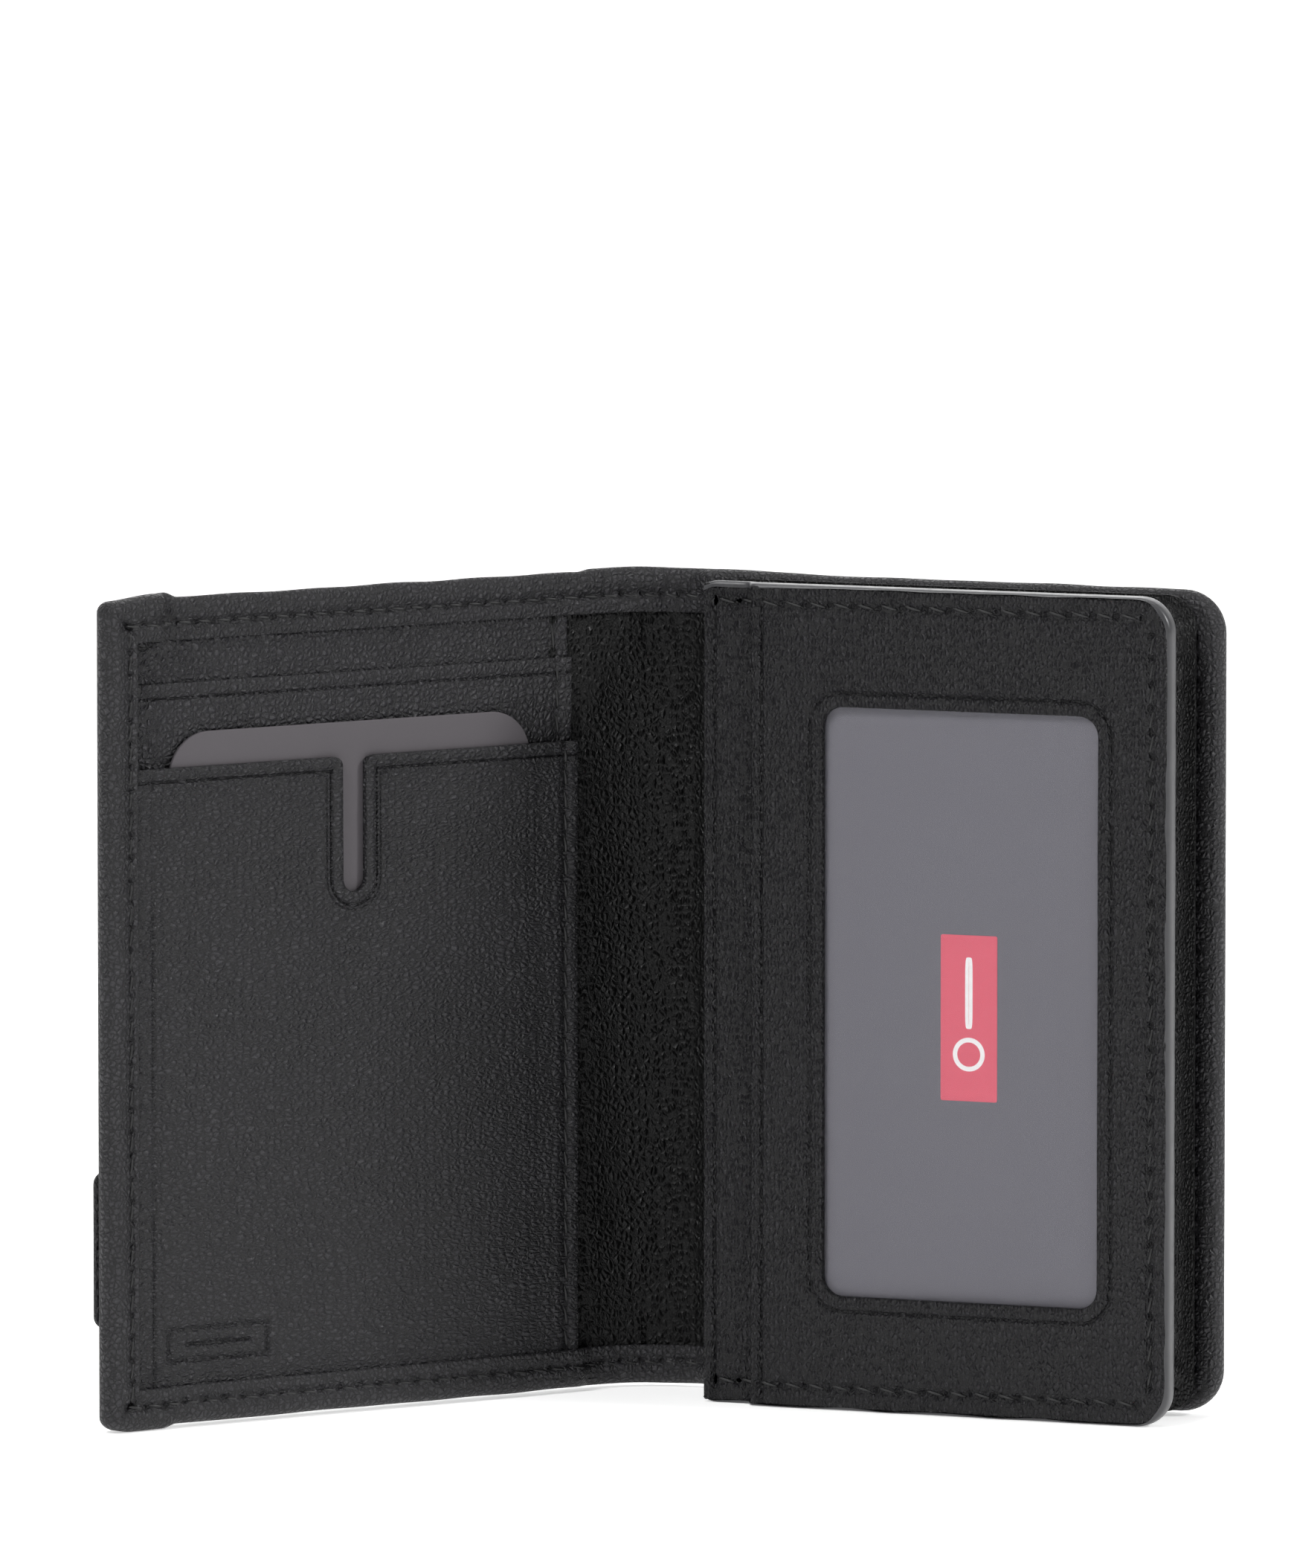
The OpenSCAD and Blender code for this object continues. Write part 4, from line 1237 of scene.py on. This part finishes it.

# %% [markdown]
# ## Gusset
#
# The gusset is a strip folded inwards to a V, sewn to the back cover on one side and to the panel on
# the other. It is one fixed piece, attached to neither of them. At the two free corners the strip has
# to turn, and the leather bunches up there.

# %% The folded strip
def make_gusset():
    """The strip's closed V section carried round a U; wrinkles grow towards the fold and the corners."""
    inner = [(0.6, 4.05), (1.5, 4.05), (2.1, 4.12), (3.1, 4.65), (4.6, 5.65), (6.1, 6.65), (7.1, 7.3),
             (7.5, 7.9), (7.1, 8.5), (6.1, 9.15), (4.6, 10.15), (3.1, 11.15), (2.1, 11.68), (1.5, 11.75),
             (0.6, 11.75)]
    outer = [(0.6, 12.22), (2.4, 12.22), (5.4, 10.25), (7.8, 8.65), (8.3, 7.9), (7.8, 7.15), (5.4, 5.55),
             (2.4, 3.58), (0.6, 3.58)]
    section = np.array(inner + outer)
    left, right, top = layer_low[0] + 1.0, paint_high[0], HEIGHT
    bottom_run, side_run = np.linspace(0, 1, 130), np.linspace(0, 1, 230)
    turns = np.linspace(0, math.pi / 2, 12)[1:-1]
    xs, zs = [], []
    for inset, _ in section:
        radius = max(4.5 - inset, 0.6)
        end, low, high = right - inset, inset, top - inset
        across = left + bottom_run * (end - radius - left)
        xs.append(np.concatenate([across, end - radius + radius * np.sin(turns), np.full(230, end),
                                  end - radius + radius * np.cos(turns), across[::-1]]))
        climb = low + radius + side_run * (high - low - 2 * radius)
        zs.append(np.concatenate([np.full(130, low), low + radius - radius * np.cos(turns), climb,
                                  high - radius + radius * np.sin(turns), np.full(130, high)]))
    x, z = np.array(xs), np.array(zs)
    stretches = [bottom_run * 65, 65 + turns * 3, 70 + side_run * 96, 166 + turns * 3, 171 + bottom_run * 65]
    along = np.concatenate(stretches)
    depth = section[:, 1:] + np.zeros_like(x)
    free = smooth(section[:, :1], 2.0, 5.0)
    corner = bell(along - 67.5, 8) + bell(along - 168.5, 9)
    run_along = along[None, :] + np.zeros_like(x)
    wrinkle = (0.3 + 0.9 * corner) * ripple(run_along, depth * 0.6, 2.6, 91)
    wrinkle = wrinkle + (0.16 + 0.45 * corner) * ripple(run_along, depth * 0.35, 1.1, 92)
    depth = np.clip(depth + free * wrinkle, 3.58, 12.22)
    pull = 0.35 * ripple(run_along, 0 * x, 9, 93) + 0.7 * corner * ripple(run_along, depth, 2.2, 94)
    pull = free * pull
    x = x - pull * smooth(z, 6, 14) * smooth(HEIGHT - z, 6, 14)
    points = on_back(x, depth, z)
    faces = grid_faces(*x.shape, wrap_rows=True)
    count, columns = x.shape
    ends = [(np.arange(count) * columns)[None], (np.arange(count)[::-1] * columns + columns - 1)[None]]
    return new_piece("folded_gusset", points, [faces, *ends], GUSSET)


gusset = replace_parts(make_gusset(), "gusset")
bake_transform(gusset)

# %% [markdown]
# ## Patch on the outside
#
# A small leather patch is sewn low on the outside of the front cover, next to its free edge. It is a
# plate with soft edges, and its stitches run just inside them.

# %% The patch and its stitches
patch_low, patch_high = (FRONT_W - 30.0, 13.0), (FRONT_W - 0.15, 32.9)
PATCH_FACE = -0.55
PATCH_PITCH = 2.4
row_x = (patch_low[0] + 1.6, patch_high[0] - 1.6)
row_z = (patch_low[1] + 1.6, patch_high[1] - 1.6)
patch_rows = [row((patch_low[0] + 2, z), (patch_high[0] - 2, z), PATCH_PITCH) for z in row_z]
patch_rows += [row((x, patch_low[1] + 2.2), (x, patch_high[1] - 2.2), PATCH_PITCH) for x in row_x]
patch = slab("leather_patch", patch_low, patch_high, [1.6] * 4, 0.3, PATCH_FACE, on_front, SHADED_PANEL,
             "panel_leather", edge=0.3, insets=tuple(np.arange(0.45, 3.0, 0.15)),
             relief=lambda x, z: sunk(x, z, patch_rows, 0.14, 0.25),
             long_points=120, short_points=160)
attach(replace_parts(patch, "monogram_patch"), "front_cover")
patch_thread = thread_piece("patch_stitches", patch_rows,
                            lambda x, z: PATCH_FACE + sunk(x, z, patch_rows, 0.14, 0.0),
                            on_front, outwards=-1.0)
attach(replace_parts(patch_thread, "patch_thread"), "front_cover")

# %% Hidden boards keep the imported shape
for name in ("back_board", "front_board", "spine_interlining", "slot_fabric"):
    core = bpy.data.objects[name]
    core.data.materials.clear()
    core.data.materials.append(BOARD if "board" in name else FABRIC)

# %% [markdown]
# ## Stage, light and camera
#
# A pale floor that curves up into a pale backdrop, so that no horizon shows. Two soft lights of nearly
# equal power stand high on either side, a broad one hangs above, and a fourth lights only the backdrop.

# %% Floor and backdrop
def make_stage():
    """One sheet along the view: flat near the piece, then a quarter circle, then upright."""
    radius, reach, width = 900.0, 3400.0, 5200.0
    turn = np.linspace(0, math.pi / 2, 40)
    forward = np.concatenate([[-4200, -800, 0, reach / 2], reach + radius * np.sin(turn), [reach + radius]])
    height = np.concatenate([[0, 0, 0, 0], radius * (1 - np.cos(turn)), [4200]])
    across = np.linspace(-width, width, 9)
    grid_f, grid_a = np.meshgrid(forward, across, indexing="ij")
    grid_h = np.broadcast_to(height[:, None], grid_f.shape)
    on_floor = grid_f[..., None] * VIEW_FLAT + grid_a[..., None] * VIEW_RIGHT
    points = VIEW_TARGET_XY + on_floor + grid_h[..., None] * UP
    mesh = bpy.data.meshes.new("backdrop")
    mesh.from_pydata((points.reshape(-1, 3) * MM).tolist(), [], grid_faces(*grid_f.shape).tolist())
    mesh.polygons.foreach_set("use_smooth", [True] * len(mesh.polygons))
    piece = bpy.data.objects.new("backdrop", mesh)
    bpy.context.scene.collection.objects.link(piece)
    mesh.materials.append(BACKDROP)
    return piece


VIEW_AZ, VIEW_EL = math.radians(21.54), math.radians(6.08)
VIEW_DISTANCE = 2300.0
VIEW_FLAT = np.array([-math.sin(VIEW_AZ), math.cos(VIEW_AZ), 0.0])
VIEW_RIGHT = np.array([math.cos(VIEW_AZ), math.sin(VIEW_AZ), 0.0])
UP = np.array([0.0, 0.0, 1.0])
view_target = np.array([back_fold[0], back_fold[1], 0.0]) - 6.85 * VIEW_RIGHT + 77.6 * UP
VIEW_TARGET_XY = view_target * (1, 1, 0)
BACKDROP, _, backdrop_shader = new_material("backdrop")
backdrop_shader.inputs["Base Color"].default_value = (0.9, 0.9, 0.9, 1)
backdrop_shader.inputs["Roughness"].default_value = 0.9
backdrop_shader.inputs["Emission Color"].default_value = (1, 1, 1, 1)
backdrop_shader.inputs["Emission Strength"].default_value = 0.47
backdrop = make_stage()

# %% Lights
def area_light(name, right, back, up, size, power, aim=(0, 0, 55)):
    """A rectangular soft light placed in mm relative to the view: right, away from the camera, and up."""
    light = bpy.data.lights.new(name, "AREA")
    light.shape = "RECTANGLE"
    light.size, light.size_y = size
    light.energy = power
    lamp = bpy.data.objects.new(name, light)
    bpy.context.scene.collection.objects.link(lamp)
    at = VIEW_TARGET_XY + right * VIEW_RIGHT + back * VIEW_FLAT + up * UP
    lamp.location = at * MM
    toward = mathutils.Vector((VIEW_TARGET_XY + np.array(aim, float) - at).tolist())
    lamp.rotation_euler = toward.to_track_quat("-Z", "Y").to_euler()
    return lamp


lights = [
    area_light("key", -650, -800, 1000, (0.5, 0.5), 12),
    area_light("side", 1250, -330, 800, (0.25, 0.25), 13),
    area_light("top", 0, 150, 1300, (1.2, 0.5), 9),
    area_light("wall", 0, 2300, 1600, (2.5, 2.0), 90, aim=4300 * VIEW_FLAT + 1500 * UP),
]
world = bpy.data.worlds.new("studio")
bpy.context.scene.world = world
world.use_nodes = True
world.node_tree.nodes["Background"].inputs["Color"].default_value = (1, 1, 1, 1)
world.node_tree.nodes["Background"].inputs["Strength"].default_value = 0.1
bpy.context.scene.view_settings.view_transform = "Standard"

# %% Camera
lens = bpy.data.cameras.new("camera")
lens.lens = 414
lens.sensor_width = 36
lens.sensor_height = 36
lens.clip_end = 20
camera = bpy.data.objects.new("camera", lens)
bpy.context.scene.collection.objects.link(camera)
forward = VIEW_FLAT * math.cos(VIEW_EL) - UP * math.sin(VIEW_EL)
camera.location = (view_target - forward * VIEW_DISTANCE) * MM
camera.rotation_euler = mathutils.Vector(forward.tolist()).to_track_quat("-Z", "Y").to_euler()
bpy.context.scene.camera = camera
